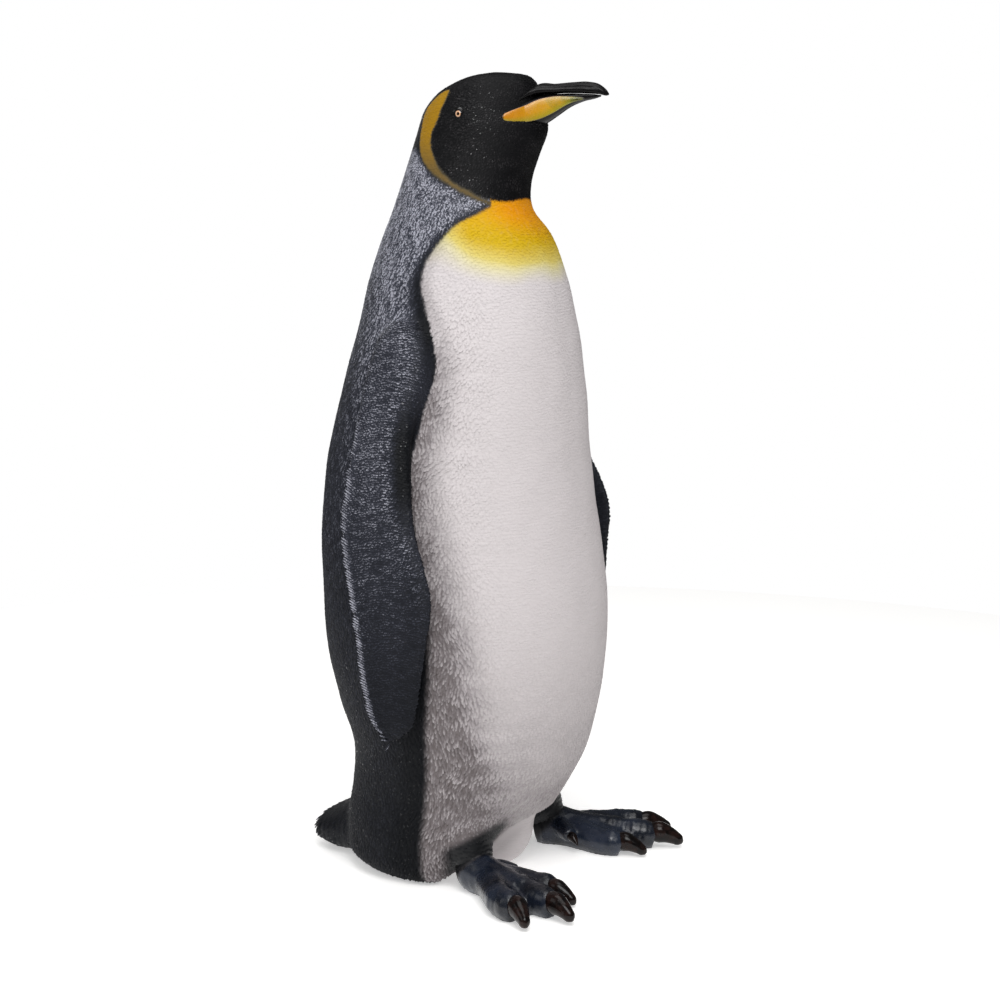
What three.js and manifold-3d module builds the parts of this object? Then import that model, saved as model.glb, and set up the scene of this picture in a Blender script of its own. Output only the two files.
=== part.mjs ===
// A life-size king penguin statue: a standing bird of painted cast resin.
//
// Millimetres, +Z up, standing on z = 0. The bird faces -Y, its left side is +X and its right side is -X.
// The body is one loft of level rings, from the belly to the crown. It is then parted by thin cuts into
// head, neck and trunk. Wings, tail, legs, feet and bill are lofts of their own, each let into what it grows from.
import * as THREE from 'three';
import Module from 'manifold-3d';

const wasm = await Module();
wasm.setup();
const { Manifold, Mesh } = wasm;

// ---- driving dimensions -------------------------------------------------------------------------
const GAP = 0.3;            // clear space between neighbouring solids
const FINEST = 0.1;         // facets flatter than this are merged
const CROWN = 920;          // top of the head above the floor
const RING = 2.15;          // superellipse power of the body's rings: 2 is an ellipse, more is squarer
const HEAD_TURN = 10;       // degrees that the head looks to the bird's left
const TURN_FROM = 740;      // height where that turn starts in the neck
const TURN_TO = 850;        // height where it is complete
const BELLY_LIFT = 68;      // how much higher the belly's front edge hangs than its back edge
const NECK_TOP = { front: 774, back: 812 };   // the cut between head and neck, at the throat and the nape
const NECK_FOOT = 672;      // the level cut between neck and trunk

// The body's rings: height, reach forward, reach forward of the back line, half width, narrowing to the front.
const BODY = [
  [  3,  -10,  -10,   0, 0.00],
  [  6,   84, -116, 114, 0.00],
  [ 20,  101, -134, 126, 0.00],
  [ 50,  109, -136, 130, 0.00],
  [100,  126, -127, 133, 0.00],
  [150,  146, -125, 141, 0.00],
  [205,  159, -143, 150, 0.00],
  [260,  166, -157, 156, 0.00],
  [320,  167, -162, 158, 0.00],
  [400,  157, -164, 154, 0.00],
  [480,  146, -157, 146, 0.00],
  [560,  141, -139, 134, 0.00],
  [630,  133, -120, 119, 0.00],
  [690,  120, -106, 103, 0.00],
  [740,  101,  -90,  86, 0.00],
  [768,   80,  -79,  75, 0.04],
  [800,   80,  -68,  67, 0.10],
  [830,   91,  -59,  62, 0.20],
  [856,  100,  -51,  57, 0.28],
  [880,   95,  -41,  52, 0.32],
  [898,   91,  -25,  45, 0.25],
  [911,   83,    0,  33, 0.15],
  [CROWN, 44,   44,   0, 0.00],
];

// The belly's fold that hangs between the feet: its centre, and its half lengths forward, across and up.
const FOLD = { forward: 53, right: 4, up: 58, half: [37, 37, 55] };

// Bill sections, counted forward from the neck's axis: forward, top, bottom, half width.
const UPPER_BILL = [
  [ 62, 878,   871.5, 33  ],
  [ 78, 894,   887,   28  ],
  [ 90, 904.5, 892,   24.5],
  [110, 905.5, 894.6, 17  ],
  [130, 907,   894.8, 12.5],
  [147, 907.3, 894.2, 10  ],
  [160, 904,   893.2,  7.5],
  [167, 898.5, 891.8,  5  ],
  [170, 894.5, 892.6,  1.2],
];
const LOWER_BILL = [
  [ 62, 871,   860,   33  ],
  [ 78, 886.5, 857,   28.5],
  [ 90, 891.5, 858,   25  ],
  [102, 894,   864,   19.5],
  [112, 894.3, 870.5, 16.5],
  [125, 894.4, 879,   13  ],
  [142, 893.8, 886,    9  ],
  [154, 892.8, 888.6,  6  ],
  [161, 891.6, 890.4,  1.2],
];
// The coloured plate along each side of the lower bill: forward, top, bottom.
const PLATE = [
  [ 59, 869,   867  ],
  [ 68, 874,   863.5],
  [ 82, 881.5, 863  ],
  [ 96, 888,   866  ],
  [110, 891,   872.5],
  [128, 891,   883],
  [145, 890,   888  ],
];
const PLATE_PROUD = 1.2;    // how far a plate stands out of the bill's side
const PLATE_DEPTH = 3.2;    // how far it goes in

const EYE = { forward: 12, up: 872, radius: 9, proud: 1.6 };

// A wing's sections down its length: distance from the shoulder, front edge, rear edge, half thickness.
const WING = [
  [  0,  -8,  -8,  0  ],
  [ 14,  22, -38, 13  ],
  [ 60,  30, -50, 15  ],
  [130,  19, -56, 12.5],
  [185,  22, -59, 11  ],
  [241,  31, -62, 10  ],
  [278,  44, -57,  9.5],
  [308,  52, -50,  9  ],
  [363,  46, -39,  7.5],
  [418,  37, -31,  6  ],
  [457,  27, -19,  4.5],
  [479,   2,   2,  0  ],
];
// Each wing's pose in degrees: off the plumb line at the shoulder and at the tip, swung forward,
// and how far the outer wing turns its front edge in towards the body.
const SHOULDER = { forward: 0, side: 115, up: 650 };
const WING_POSE = {
  right: { shoulderOut: 21, tipOut: -1, swing: 0, twist: 8 },
  left: { shoulderOut: 51, tipOut: 12, swing: 2.5, twist: 40 },
};
const WING_EASE = 1.6;      // how fast the shoulder's slope dies away down the wing

// The tail's sections from root to tip: forward, height of its middle, half width, half thickness.
const TAIL = [
  [ -70, 45, 70, 40],
  [-115, 37, 76, 38],
  [-146, 28, 66, 30],
  [-166, 20, 54, 22],
  [-179, 14, 40, 14],
  [-185, 10, 25,  6],
];

// Legs and feet. A foot's own axes run forward along the middle toe and outward from the ankle.
const ANKLE = { forward: 61, side: 95, up: 34 };
const FOOT_SPLAY = { right: 22, left: 19 };   // degrees that each foot points outward
const HIP = { forward: 26, side: 84, up: 118 };
const LEG = [               // share of the way from hip to ankle, half width
  [0.00, 32], [0.35, 35], [0.70, 31], [1.00, 25],
];
const SOLE_SINK = 2.2;      // how far a toe's round underside is cut back to give a flat
const TOES = {              // forward and outward place of each toe's end, its half width, and its claw's length
  middle: { end: [134, -1], radius: 17, claw: 33, lean: 0.03 },
  outer: { end: [117, 38], radius: 17, claw: 32, lean: 0.42 },
  inner: { end: [ 96, -36], radius: 15, claw: 30, lean: -0.2 },
};
const HALLUX = { from: [20, -16, 26], end: [35, -36, 20], radius: 9.5, claw: 16 };

// ---- colours -------------------------------------------------------------------------------------
const COLOURS = {
  hood: '#141416', nape: '#565a64', belly: '#d6d0cb', back: '#2a2e38', wing: '#23262f',
  foot: '#161b26', claw: '#15100f', bill: '#0f0f11', plate: '#d98a12', eye: '#16100d',
};
const group = new THREE.Group();

function add(name, solid, colour, roughness = 0.6) {
  const mesh = solid.simplify(FINEST).getMesh();
  const geometry = new THREE.BufferGeometry();
  const corners = new Float32Array(mesh.numVert * 3);
  for (let i = 0; i < mesh.numVert; i += 1) {
    for (let k = 0; k < 3; k += 1) corners[3 * i + k] = mesh.vertProperties[mesh.numProp * i + k];
  }
  geometry.setAttribute('position', new THREE.BufferAttribute(corners, 3));
  geometry.setIndex(new THREE.BufferAttribute(new Uint32Array(mesh.triVerts), 1));
  geometry.computeVertexNormals();
  const piece = new THREE.Mesh(geometry, new THREE.MeshStandardMaterial({ color: colour, roughness, metalness: 0 }));
  piece.name = name;
  group.add(piece);
}

// ---- curves and lofts ------------------------------------------------------------------------------
const radians = THREE.MathUtils.degToRad;
const lerp = THREE.MathUtils.lerp;

// A smooth curve through rows of numbers, whose knots are the running distance `knots` along the rows.
function smoothRows(rows, knots) {
  const slopes = rows.map((row, i) => row.map((value, c) => {
    const before = i > 0 ? (value - rows[i - 1][c]) / (knots[i] - knots[i - 1]) : null;
    const after = i < rows.length - 1 ? (rows[i + 1][c] - value) / (knots[i + 1] - knots[i]) : null;
    if (before === null) return after;
    if (after === null) return before;
    const a = knots[i] - knots[i - 1];
    const b = knots[i + 1] - knots[i];
    return (before * b + after * a) / (a + b);
  }));
  return (at) => {
    let i = 0;
    while (i < knots.length - 2 && at > knots[i + 1]) i += 1;
    const span = knots[i + 1] - knots[i];
    const u = THREE.MathUtils.clamp((at - knots[i]) / span, 0, 1);
    const h0 = 2 * u ** 3 - 3 * u ** 2 + 1;
    const h1 = u ** 3 - 2 * u ** 2 + u;
    const h2 = -2 * u ** 3 + 3 * u ** 2;
    const h3 = u ** 3 - u ** 2;
    return rows[i].map((value, c) => h0 * value + h1 * span * slopes[i][c]
      + h2 * rows[i + 1][c] + h3 * span * slopes[i + 1][c]);
  };
}

// The running distance along rows, measured with the two columns that `reach` gives.
function distances(rows, reach) {
  const knots = [0];
  for (let i = 1; i < rows.length; i += 1) {
    const [a, b] = [reach(rows[i - 1]), reach(rows[i])];
    knots.push(knots[i - 1] + Math.hypot(b[0] - a[0], b[1] - a[1]));
  }
  return knots;
}

// `count` rows spaced evenly along the smooth curve through `rows`.
function resample(rows, count, reach) {
  const knots = distances(rows, reach);
  const curve = smoothRows(rows, knots);
  return Array.from({ length: count }, (_, i) => curve((knots[knots.length - 1] * i) / (count - 1)));
}

// A closed solid over rings of points with one point at each end. It is turned inside out if need be.
function loft(rings, firstPole, lastPole) {
  const around = rings[0].length;
  const points = [firstPole, ...rings.flat(), lastPole];
  const last = points.length - 1;
  const faces = [];
  for (let j = 0; j < around; j += 1) {
    const k = (j + 1) % around;
    faces.push([0, 1 + k, 1 + j]);
    for (let i = 0; i < rings.length - 1; i += 1) {
      const a = 1 + i * around;
      const b = a + around;
      faces.push([a + j, a + k, b + k], [a + j, b + k, b + j]);
    }
    const top = 1 + (rings.length - 1) * around;
    faces.push([top + j, top + k, last]);
  }
  const build = (order) => Manifold.ofMesh(new Mesh({
    numProp: 3,
    vertProperties: new Float32Array(points.flat()),
    triVerts: new Uint32Array(faces.flatMap(order)),
  }));
  const solid = build((face) => face);
  return solid.volume() > 0 ? solid : build(([a, b, c]) => [a, c, b]);
}

const centre = (ring) => [0, 1, 2].map((k) => ring.reduce((sum, point) => sum + point[k], 0) / ring.length);

// A loft with flat ends. A grown one also goes `grow` further at each end.
function capped(rings, grow = 0) {
  const [start, next] = [rings[0], rings[1]].map(centre);
  const [before, end] = rings.slice(-2).map(centre);
  const shifted = (ring, from, to) => {
    const step = new THREE.Vector3(...to).sub(new THREE.Vector3(...from)).setLength(grow).toArray();
    return ring.map((point) => point.map((value, k) => value + step[k]));
  };
  if (grow === 0) return loft(rings, start, end);
  const all = [shifted(rings[0], next, start), ...rings, shifted(rings[rings.length - 1], before, end)];
  return loft(all, centre(all[0]), centre(all[all.length - 1]));
}

// From distances forward, to the bird's right and up, to x, y and z.
const place = (forward, right, up) => [-right, -forward, up];

function turned(forward, right, share) {
  const angle = radians(HEAD_TURN * share);
  return [forward * Math.cos(angle) + right * Math.sin(angle), right * Math.cos(angle) - forward * Math.sin(angle)];
}

// ---- body ------------------------------------------------------------------------------------------
const BODY_AROUND = 30;
const BODY_RINGS = 31;

// One ring: a superellipse between the front and back lines, narrower to the front by `narrow`,
// lifted at the front of the belly and turned with the head. No ring is lower than the first row.
function bodyRing([up, front, back, half, narrow], grow) {
  const middle = (front + back) / 2;
  const reach = (front - back) / 2 + grow;
  return Array.from({ length: BODY_AROUND }, (_, j) => {
    const angle = (2 * Math.PI * j) / BODY_AROUND;
    const c = Math.cos(angle);
    const s = Math.sin(angle);
    const f = middle + reach * Math.sign(c) * Math.abs(c) ** (2 / RING);
    const r = (half + grow) * Math.sign(s) * Math.abs(s) ** (2 / RING) * (1 - narrow * Math.max(c, 0));
    const low = Math.max(0, 1 - up / 150) ** 2;
    const lift = BELLY_LIFT * low * THREE.MathUtils.smoothstep(f, 10, 100);
    const [ft, rt] = turned(f, r, THREE.MathUtils.smoothstep(up, TURN_FROM, TURN_TO));
    return place(ft, rt, Math.max(up, BODY[0][0]) + lift);
  });
}

function bodySolid(grow = 0) {
  const rows = resample(BODY, BODY_RINGS, (row) => [row[0], (row[1] - row[2]) / 2]);
  const rings = rows.slice(1, -1).map((row) => bodyRing(row, grow));
  const [first, last] = [rows[0], rows[rows.length - 1]];
  return loft(rings, place(first[1], 0, first[0] - grow + 4), place(...turned(last[1], 0, 1), last[0] + grow));
}

function foldSolid() {
  const [f, r, h] = FOLD.half;
  const rings = [];
  for (let i = 1; i < 8; i += 1) {
    const polar = (Math.PI * i) / 8;
    rings.push(Array.from({ length: 14 }, (_, j) => {
      const angle = (2 * Math.PI * j) / 14;
      return place(
        FOLD.forward + f * Math.sin(polar) * Math.cos(angle),
        FOLD.right + r * Math.sin(polar) * Math.sin(angle),
        FOLD.up - h * Math.cos(polar),
      );
    }));
  }
  return loft(rings, place(FOLD.forward, FOLD.right, FOLD.up - h), place(FOLD.forward, FOLD.right, FOLD.up + h));
}

// ---- bill and eyes -----------------------------------------------------------------------------------
// A bill half: level-sided rings across the bill, turned with the head.
function billSolid(rows, grow = 0, around = 12, count = 11) {
  const smooth = resample(rows, count, (row) => [row[0], row[3]]);
  const rings = smooth.map(([forward, top, bottom, half]) => Array.from({ length: around }, (_, j) => {
    const angle = (2 * Math.PI * (j + 0.5)) / around;
    const [ft, rt] = turned(forward, (half + grow) * Math.cos(angle), 1);
    return place(ft, rt, (top + bottom) / 2 + ((top - bottom) / 2 + grow) * Math.sin(angle));
  }));
  return capped(rings, grow);
}

const lowerBillWidth = (() => {
  const curve = smoothRows(LOWER_BILL, LOWER_BILL.map((row) => row[0]));
  return (forward) => curve(forward)[3];
})();

function plateSolid(side, grow = 0) {
  const rows = resample(PLATE, 10, (row) => [row[0], row[1] - row[2]]);
  const rings = rows.map(([forward, top, bottom]) => {
    const out = lowerBillWidth(forward);
    return Array.from({ length: 8 }, (_, j) => {
      const angle = (2 * Math.PI * j) / 8;
      const depth = Math.cos(angle) > 0 ? PLATE_PROUD : PLATE_DEPTH;
      const [ft, rt] = turned(forward, side * (out + (depth + grow) * Math.cos(angle)), 1);
      return place(ft, rt, (top + bottom) / 2 + ((top - bottom) / 2 + grow) * Math.sin(angle));
    });
  });
  return capped(rings, grow);
}

function sphereSolid(at, radius) {
  const rings = [];
  for (let i = 1; i < 6; i += 1) {
    const polar = (Math.PI * i) / 6;
    rings.push(Array.from({ length: 12 }, (_, j) => {
      const angle = (2 * Math.PI * j) / 12;
      return [
        at[0] - radius * Math.cos(polar),
        at[1] + radius * Math.sin(polar) * Math.cos(angle),
        at[2] + radius * Math.sin(polar) * Math.sin(angle),
      ];
    }));
  }
  return loft(rings, [at[0] - radius, at[1], at[2]], [at[0] + radius, at[1], at[2]]);
}

// The head's half width at the eye, from the body's rings.
function headWidth(forward, up) {
  const [, front, back, half, narrow] = smoothRows(BODY, BODY.map((row) => row[0]))(up);
  const c = (forward - (front + back) / 2) / ((front - back) / 2);
  return half * (1 - Math.abs(c) ** RING) ** (1 / RING) * (1 - narrow * Math.max(c, 0));
}

function eyePlace(side) {
  const out = headWidth(EYE.forward, EYE.up) + EYE.proud - EYE.radius;
  return place(...turned(EYE.forward, side * out, 1), EYE.up);
}

// ---- wings ---------------------------------------------------------------------------------------------
const WING_STEP = 2;

// The wing's middle line: how far out and down it is at each distance from the shoulder.
function wingLine({ shoulderOut, tipOut }) {
  const length = WING[WING.length - 1][0];
  const line = [[0, 0, radians(shoulderOut)]];
  for (let s = WING_STEP; s <= length + WING_STEP; s += WING_STEP) {
    const share = Math.max(0, 1 - s / length) ** WING_EASE;
    const angle = radians(lerp(tipOut, shoulderOut, share));
    const [out, down] = line[line.length - 1];
    line.push([out + WING_STEP * Math.sin(angle), down + WING_STEP * Math.cos(angle), angle]);
  }
  return (s) => {
    const at = s / WING_STEP;
    const i = Math.min(Math.floor(at), line.length - 2);
    return line[i].map((value, c) => lerp(value, line[i + 1][c], at - i));
  };
}

function wingSolid(side, pose, grow = 0) {
  const line = wingLine(pose);
  const rows = resample(WING, 18, (row) => [row[0], (row[1] - row[2]) / 2]);
  const at = (s, chord, thick) => {
    const [out, down, angle] = line(s);
    return place(
      SHOULDER.forward + chord + s * Math.sin(radians(pose.swing)),
      side * (SHOULDER.side + out + thick * Math.cos(angle)),
      SHOULDER.up - down + thick * Math.sin(angle),
    );
  };
  const length = WING[WING.length - 1][0];
  const rings = rows.slice(1, -1).map(([s, lead, trail, half]) => Array.from({ length: 14 }, (_, j) => {
    const angle = (2 * Math.PI * j) / 14;
    const chord = (lead + trail) / 2 + ((lead - trail) / 2 + grow) * Math.cos(angle);
    const thick = (half + grow) * Math.sin(angle) * (1 + 0.3 * Math.cos(angle));
    const turn = radians(pose.twist) * THREE.MathUtils.smoothstep(s / length, 0.4, 1);
    return at(s, chord * Math.cos(turn) + thick * Math.sin(turn), thick * Math.cos(turn) - chord * Math.sin(turn));
  }));
  return loft(rings, at(0, WING[0][1], 0), at(length, WING[WING.length - 1][1], 0));
}

// ---- tail, legs and feet -------------------------------------------------------------------------------
function tailSolid(grow = 0) {
  const rows = resample(TAIL, 9, (row) => [row[0], row[1]]);
  const rings = rows.map(([forward, up, half, thick]) => Array.from({ length: 16 }, (_, j) => {
    const angle = (2 * Math.PI * j) / 16;
    const c = Math.cos(angle);
    const s = Math.sin(angle);
    return place(
      forward,
      (half + grow) * Math.sign(c) * Math.abs(c) ** 0.8,
      up + (thick + grow) * Math.sign(s) * Math.abs(s) ** 0.8,
    );
  }));
  return capped(rings, grow);
}

// Above the floor: what is left of a solid over z = `height`, which gives it a flat underside.
const above = (solid, height = 0) => solid.trimByPlane([0, 0, 1], height);
const below = (solid, height) => solid.trimByPlane([0, 0, -1], -height);

// A round solid along a path of [forward, right, up, half width, half height] rows.
function limb(rows, around = 14, grow = 0) {
  const rings = rows.map((row, i) => {
    const before = rows[Math.max(i - 1, 0)];
    const after = rows[Math.min(i + 1, rows.length - 1)];
    const along = new THREE.Vector3(...place(...after)).sub(new THREE.Vector3(...place(...before))).normalize();
    const helper = Math.abs(along.z) > 0.9 ? new THREE.Vector3(0, -1, 0) : new THREE.Vector3(0, 0, 1);
    const across = new THREE.Vector3().crossVectors(along, helper).normalize();
    const up = new THREE.Vector3().crossVectors(across, along);
    const at = new THREE.Vector3(...place(row[0], row[1], row[2]));
    return Array.from({ length: around }, (_, j) => {
      const angle = (2 * Math.PI * j) / around;
      const point = at.clone()
        .addScaledVector(across, (row[3] + grow) * Math.cos(angle))
        .addScaledVector(up, (row[4] + grow) * Math.sin(angle));
      return point.toArray();
    });
  });
  return capped(rings, grow);
}

function legSolid(side, grow = 0) {
  const rows = resample(LEG, 5, (row) => [row[0] * 100, row[1]]).map(([share, half]) => [
    lerp(HIP.forward, ANKLE.forward, share), side * lerp(HIP.side, ANKLE.side, share),
    lerp(HIP.up, ANKLE.up - 4, share), half, half,
  ]);
  return limb(rows, 12, grow);
}

// From a foot's own axes to the bird's.
function footPlace(side, along, out) {
  const angle = radians(side > 0 ? FOOT_SPLAY.right : FOOT_SPLAY.left);
  return [
    ANKLE.forward + along * Math.cos(angle) - out * Math.sin(angle),
    side * (ANKLE.side + along * Math.sin(angle) + out * Math.cos(angle)),
  ];
}

// A toe runs from the ankle to its end: `t` is the share of the way, and the height falls as it goes out.
function toeRows(side, { end, radius }) {
  return [0, 0.25, 0.5, 0.75, 0.93, 1].map((t) => {
    const half = lerp(21, radius, Math.min(1, t * 1.4)) * (t > 0.95 ? 0.8 : 1) * 0.92;
    const tall = lerp(23, radius, Math.min(1, t * 1.15)) * (t > 0.95 ? 0.85 : 1);
    const spread = THREE.MathUtils.smoothstep(t, 0.1, 0.9);
    return [...footPlace(side, end[0] * t, end[1] * spread), tall - SOLE_SINK, half, tall];
  });
}

// A claw starts inside its toe's end, and falls as it goes out: length, width, height, drop.
const CLAW = [[-7, 0.55, 0.6, 2], [6, 0.68, 0.76, 1.5], [14, 0.56, 0.62, -1], [22, 0.36, 0.42, -5.5], [30, 0.06, 0.08, -10.5]];

function clawRows(side, { end, radius, claw, lean }) {
  return CLAW.map(([along, wide, high, drop]) => {
    const ahead = along * (claw / 30);
    return [
      ...footPlace(side, end[0] + ahead, end[1] + lean * ahead),
      radius + drop, radius * wide, radius * high,
    ];
  });
}

function halluxRows(side) {
  const { from, end, radius } = HALLUX;
  return [0, 0.5, 1].map((t) => [
    ...footPlace(side, lerp(from[0], end[0], t), lerp(from[1], end[1], t)),
    lerp(from[2], end[2], t), radius * (t === 1 ? 0.85 : 1.1), radius * (t === 1 ? 0.85 : 1.1),
  ]);
}

function halluxClawRows(side) {
  const { from, end, radius, claw } = HALLUX;
  const length = Math.hypot(end[0] - from[0], end[1] - from[1]);
  const step = [(end[0] - from[0]) / length, (end[1] - from[1]) / length];
  return [[-5, 0.5, 0], [4, 0.6, 0], [0.6, 0.4, -3], [1, 0.06, -7]].map(([along, wide, drop], i) => {
    const ahead = i < 2 ? along : along * claw;
    return [
      ...footPlace(side, end[0] + step[0] * ahead, end[1] + step[1] * ahead),
      end[2] + drop, radius * wide, radius * wide,
    ];
  });
}

function palmRows(side) {
  return [[-14, 13, 22], [4, 22, 25], [30, 22, 22], [60, 29, 19], [86, 37, 15], [104, 40, 11], [112, 30, 6]]
    .map(([along, half, tall]) => [...footPlace(side, along, 2), tall - SOLE_SINK, half, tall]);
}

function footSolid(side) {
  const toes = Object.values(TOES).map((toe) => limb(toeRows(side, toe), 10));
  const solid = Manifold.union([limb(palmRows(side), 12), limb(halluxRows(side), 8), ...toes]);
  return above(solid);
}

// ---- the whole bird, parted -------------------------------------------------------------------------------
const SIDES = { right: 1, left: -1 };
const grown = {
  wings: Object.entries(SIDES).map(([name, side]) => wingSolid(side, WING_POSE[name], GAP)),
  legs: Object.values(SIDES).map((side) => legSolid(side, GAP)),
  tail: tailSolid(GAP),
};
const feet = Object.fromEntries(Object.entries(SIDES).map(([name, side]) => [name, footSolid(side)]));
const grownFeet = Object.values(SIDES).map((side) => Manifold.union([
  limb(palmRows(side), 12, GAP),
  ...Object.values(TOES).map((toe) => limb(toeRows(side, toe), 10, GAP)),
]));

const whole = Manifold.union([bodySolid(), foldSolid()]);

// The sloping cut between head and neck, as a plane: its direction and its distance from the origin.
const [throat, nape] = [[86, NECK_TOP.front], [-66, NECK_TOP.back]];
const slope = new THREE.Vector3(...place(throat[1] - nape[1], 0, nape[0] - throat[0])).negate().normalize();
slope.multiplyScalar(Math.sign(slope.z));
const slopeAt = slope.dot(new THREE.Vector3(...place(throat[0], 0, throat[1])));

const bills = { upper: billSolid(UPPER_BILL), lower: billSolid(LOWER_BILL) };
const plates = Object.fromEntries(Object.entries(SIDES).map(([name, side]) => [name, plateSolid(side)]));
const eyes = Object.fromEntries(Object.entries(SIDES).map(([name, side]) => [name, sphereSolid(eyePlace(side), EYE.radius)]));

const headCuts = Manifold.union([
  billSolid(UPPER_BILL, GAP), billSolid(LOWER_BILL, GAP),
  ...Object.values(SIDES).map((side) => plateSolid(side, GAP)),
  ...Object.values(SIDES).map((side) => sphereSolid(eyePlace(side), EYE.radius + GAP)),
]);
const head = whole.trimByPlane(slope.toArray(), slopeAt + GAP / 2).subtract(headCuts);
const neck = whole.trimByPlane(slope.clone().negate().toArray(), -slopeAt + GAP / 2)
  .trimByPlane([0, 0, 1], NECK_FOOT + GAP / 2);
const trunk = below(whole, NECK_FOOT - GAP / 2)
  .subtract(Manifold.union([...grown.wings, ...grown.legs, grown.tail, ...grownFeet]));

add('head', head, COLOURS.hood);
add('neck', neck, COLOURS.nape);
add('trunk', trunk, COLOURS.belly);
add('tail', above(tailSolid().subtract(Manifold.union(grownFeet))), COLOURS.back);
add('bill_upper', bills.upper, COLOURS.bill, 0.25);
add('bill_lower', bills.lower.subtract(Manifold.union([
  billSolid(UPPER_BILL, GAP), ...Object.values(SIDES).map((side) => plateSolid(side, GAP)),
])), COLOURS.bill, 0.25);
for (const [name, side] of Object.entries(SIDES)) {
  add(`bill_plate_${name}`, plates[name].subtract(billSolid(UPPER_BILL, GAP)), COLOURS.plate, 0.35);
  add(`eye_${name}`, eyes[name], COLOURS.eye, 0.1);
  add(`wing_${name}`, wingSolid(side, WING_POSE[name]), COLOURS.wing);
  const claws = Object.fromEntries(Object.entries(TOES).map(([toe, size]) => [toe, limb(clawRows(side, size), 8)]));
  claws.hallux = limb(halluxClawRows(side), 6);
  const clawCuts = [
    ...Object.values(TOES).map((size) => limb(clawRows(side, size), 8, GAP)),
    limb(halluxClawRows(side), 6, GAP),
  ];
  const foot = feet[name].subtract(Manifold.union([legSolid(side, GAP), ...clawCuts]));
  add(`leg_${name}`, above(legSolid(side), 12), COLOURS.back);
  add(`foot_${name}`, foot, COLOURS.foot, 0.25);
  for (const [toe, claw] of Object.entries(claws)) add(`claw_${name}_${toe}`, above(claw, 0.6), COLOURS.claw, 0.25);
}

// The origin is the middle of the whole bird's footprint, on the floor.
const middle = new THREE.Box3().setFromObject(group).getCenter(new THREE.Vector3());
group.position.set(-middle.x, -middle.y, 0);

export default group;
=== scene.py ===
import bpy
import numpy as np
from mathutils import Matrix, Vector
from mathutils.bvhtree import BVHTree


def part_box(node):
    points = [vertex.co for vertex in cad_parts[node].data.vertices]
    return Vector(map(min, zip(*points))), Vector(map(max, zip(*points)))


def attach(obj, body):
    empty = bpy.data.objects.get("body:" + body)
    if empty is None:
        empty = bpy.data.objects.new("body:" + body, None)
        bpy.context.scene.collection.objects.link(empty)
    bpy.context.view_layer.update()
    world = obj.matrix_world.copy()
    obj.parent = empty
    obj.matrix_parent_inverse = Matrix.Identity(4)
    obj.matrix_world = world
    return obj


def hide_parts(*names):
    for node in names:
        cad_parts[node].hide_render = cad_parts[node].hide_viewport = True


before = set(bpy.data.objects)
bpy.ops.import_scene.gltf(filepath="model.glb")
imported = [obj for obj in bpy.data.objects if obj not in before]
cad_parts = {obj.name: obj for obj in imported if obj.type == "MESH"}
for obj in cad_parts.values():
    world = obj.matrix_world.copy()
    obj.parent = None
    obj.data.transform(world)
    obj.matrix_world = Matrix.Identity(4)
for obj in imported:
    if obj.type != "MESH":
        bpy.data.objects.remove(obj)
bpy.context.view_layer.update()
chance = np.random.default_rng(7)  # every scatter draws from this one, so each run is the same
print("frame loaded,", len(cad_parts), "nodes")

mm = 0.001

head = {
    "turn": 10, "turnFrom": 740, "turnTo": 850,  # degrees left, and the heights that take up the turn
    "eyeForward": 12, "eyeSide": 43.0, "eyeUp": 872, "eyeBare": 9,  # the eye's place, and how wide it is bare
}


def middleOf(node):
    low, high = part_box(node)
    return (np.array(low) + np.array(high)) / 2 / mm


# The neck's upright axis, from the two eyes: they lie either side of it, a little ahead, on the turned head.
eyesMiddle = (middleOf("eye_right") + middleOf("eye_left")) / 2
headAngle = np.radians(head["turn"])
axisX = eyesMiddle[0] - head["eyeForward"] * np.sin(headAngle)
axisY = eyesMiddle[1] + head["eyeForward"] * np.cos(headAngle)


def toRow(points):
    # Bird's forward, right and up in millimetres to the row frame's x, y and z in metres.
    points = np.asarray(points, float)
    return np.stack([axisX - points[..., 1], axisY - points[..., 0], points[..., 2]], -1) * mm


def fromRow(points):
    points = np.asarray(points, float) / mm
    return np.stack([axisY - points[..., 1], axisX - points[..., 0], points[..., 2]], -1)


def smoothStep(value, low, high):
    t = np.clip((np.asarray(value, float) - low) / (high - low), 0, 1)
    return t * t * (3 - 2 * t)


def smoothCurve(rows, knots, at):
    # Cubic Hermite through rows of numbers. Each slope is the mean of its neighbours', weighted by nearness.
    rows, knots = np.asarray(rows, float), np.asarray(knots, float)
    at = np.atleast_1d(np.asarray(at, float))
    step = np.diff(knots)[:, None]
    slope = np.diff(rows, axis=0) / step
    inner = (slope[:-1] * step[1:] + slope[1:] * step[:-1]) / (step[:-1] + step[1:])
    tangent = np.vstack([slope[:1], inner, slope[-1:]])
    i = np.clip(np.searchsorted(knots, at, side="right") - 1, 0, len(knots) - 2)
    u = np.clip((at - knots[i]) / step[i, 0], 0, 1)[:, None]
    start = (2 * u**3 - 3 * u**2 + 1) * rows[i] + (u**3 - 2 * u**2 + u) * step[i] * tangent[i]
    end = (3 * u**2 - 2 * u**3) * rows[i + 1] + (u**3 - u**2) * step[i] * tangent[i + 1]
    return start + end


def runningDistance(rows, columns):
    # Distance run along the rows, measured in the plane of two of their columns.
    rows = np.asarray(rows, float)[:, columns]
    return np.concatenate([[0], np.cumsum(np.linalg.norm(np.diff(rows, axis=0), axis=1))])


def resampled(rows, count, columns):
    knots = runningDistance(rows, columns)
    return smoothCurve(rows, knots, np.linspace(0, knots[-1], count))


def power(value, exponent):
    return np.sign(value) * np.abs(value) ** exponent


def unit(vectors):
    return vectors / np.maximum(np.linalg.norm(vectors, axis=-1, keepdims=True), 1e-9)


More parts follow.
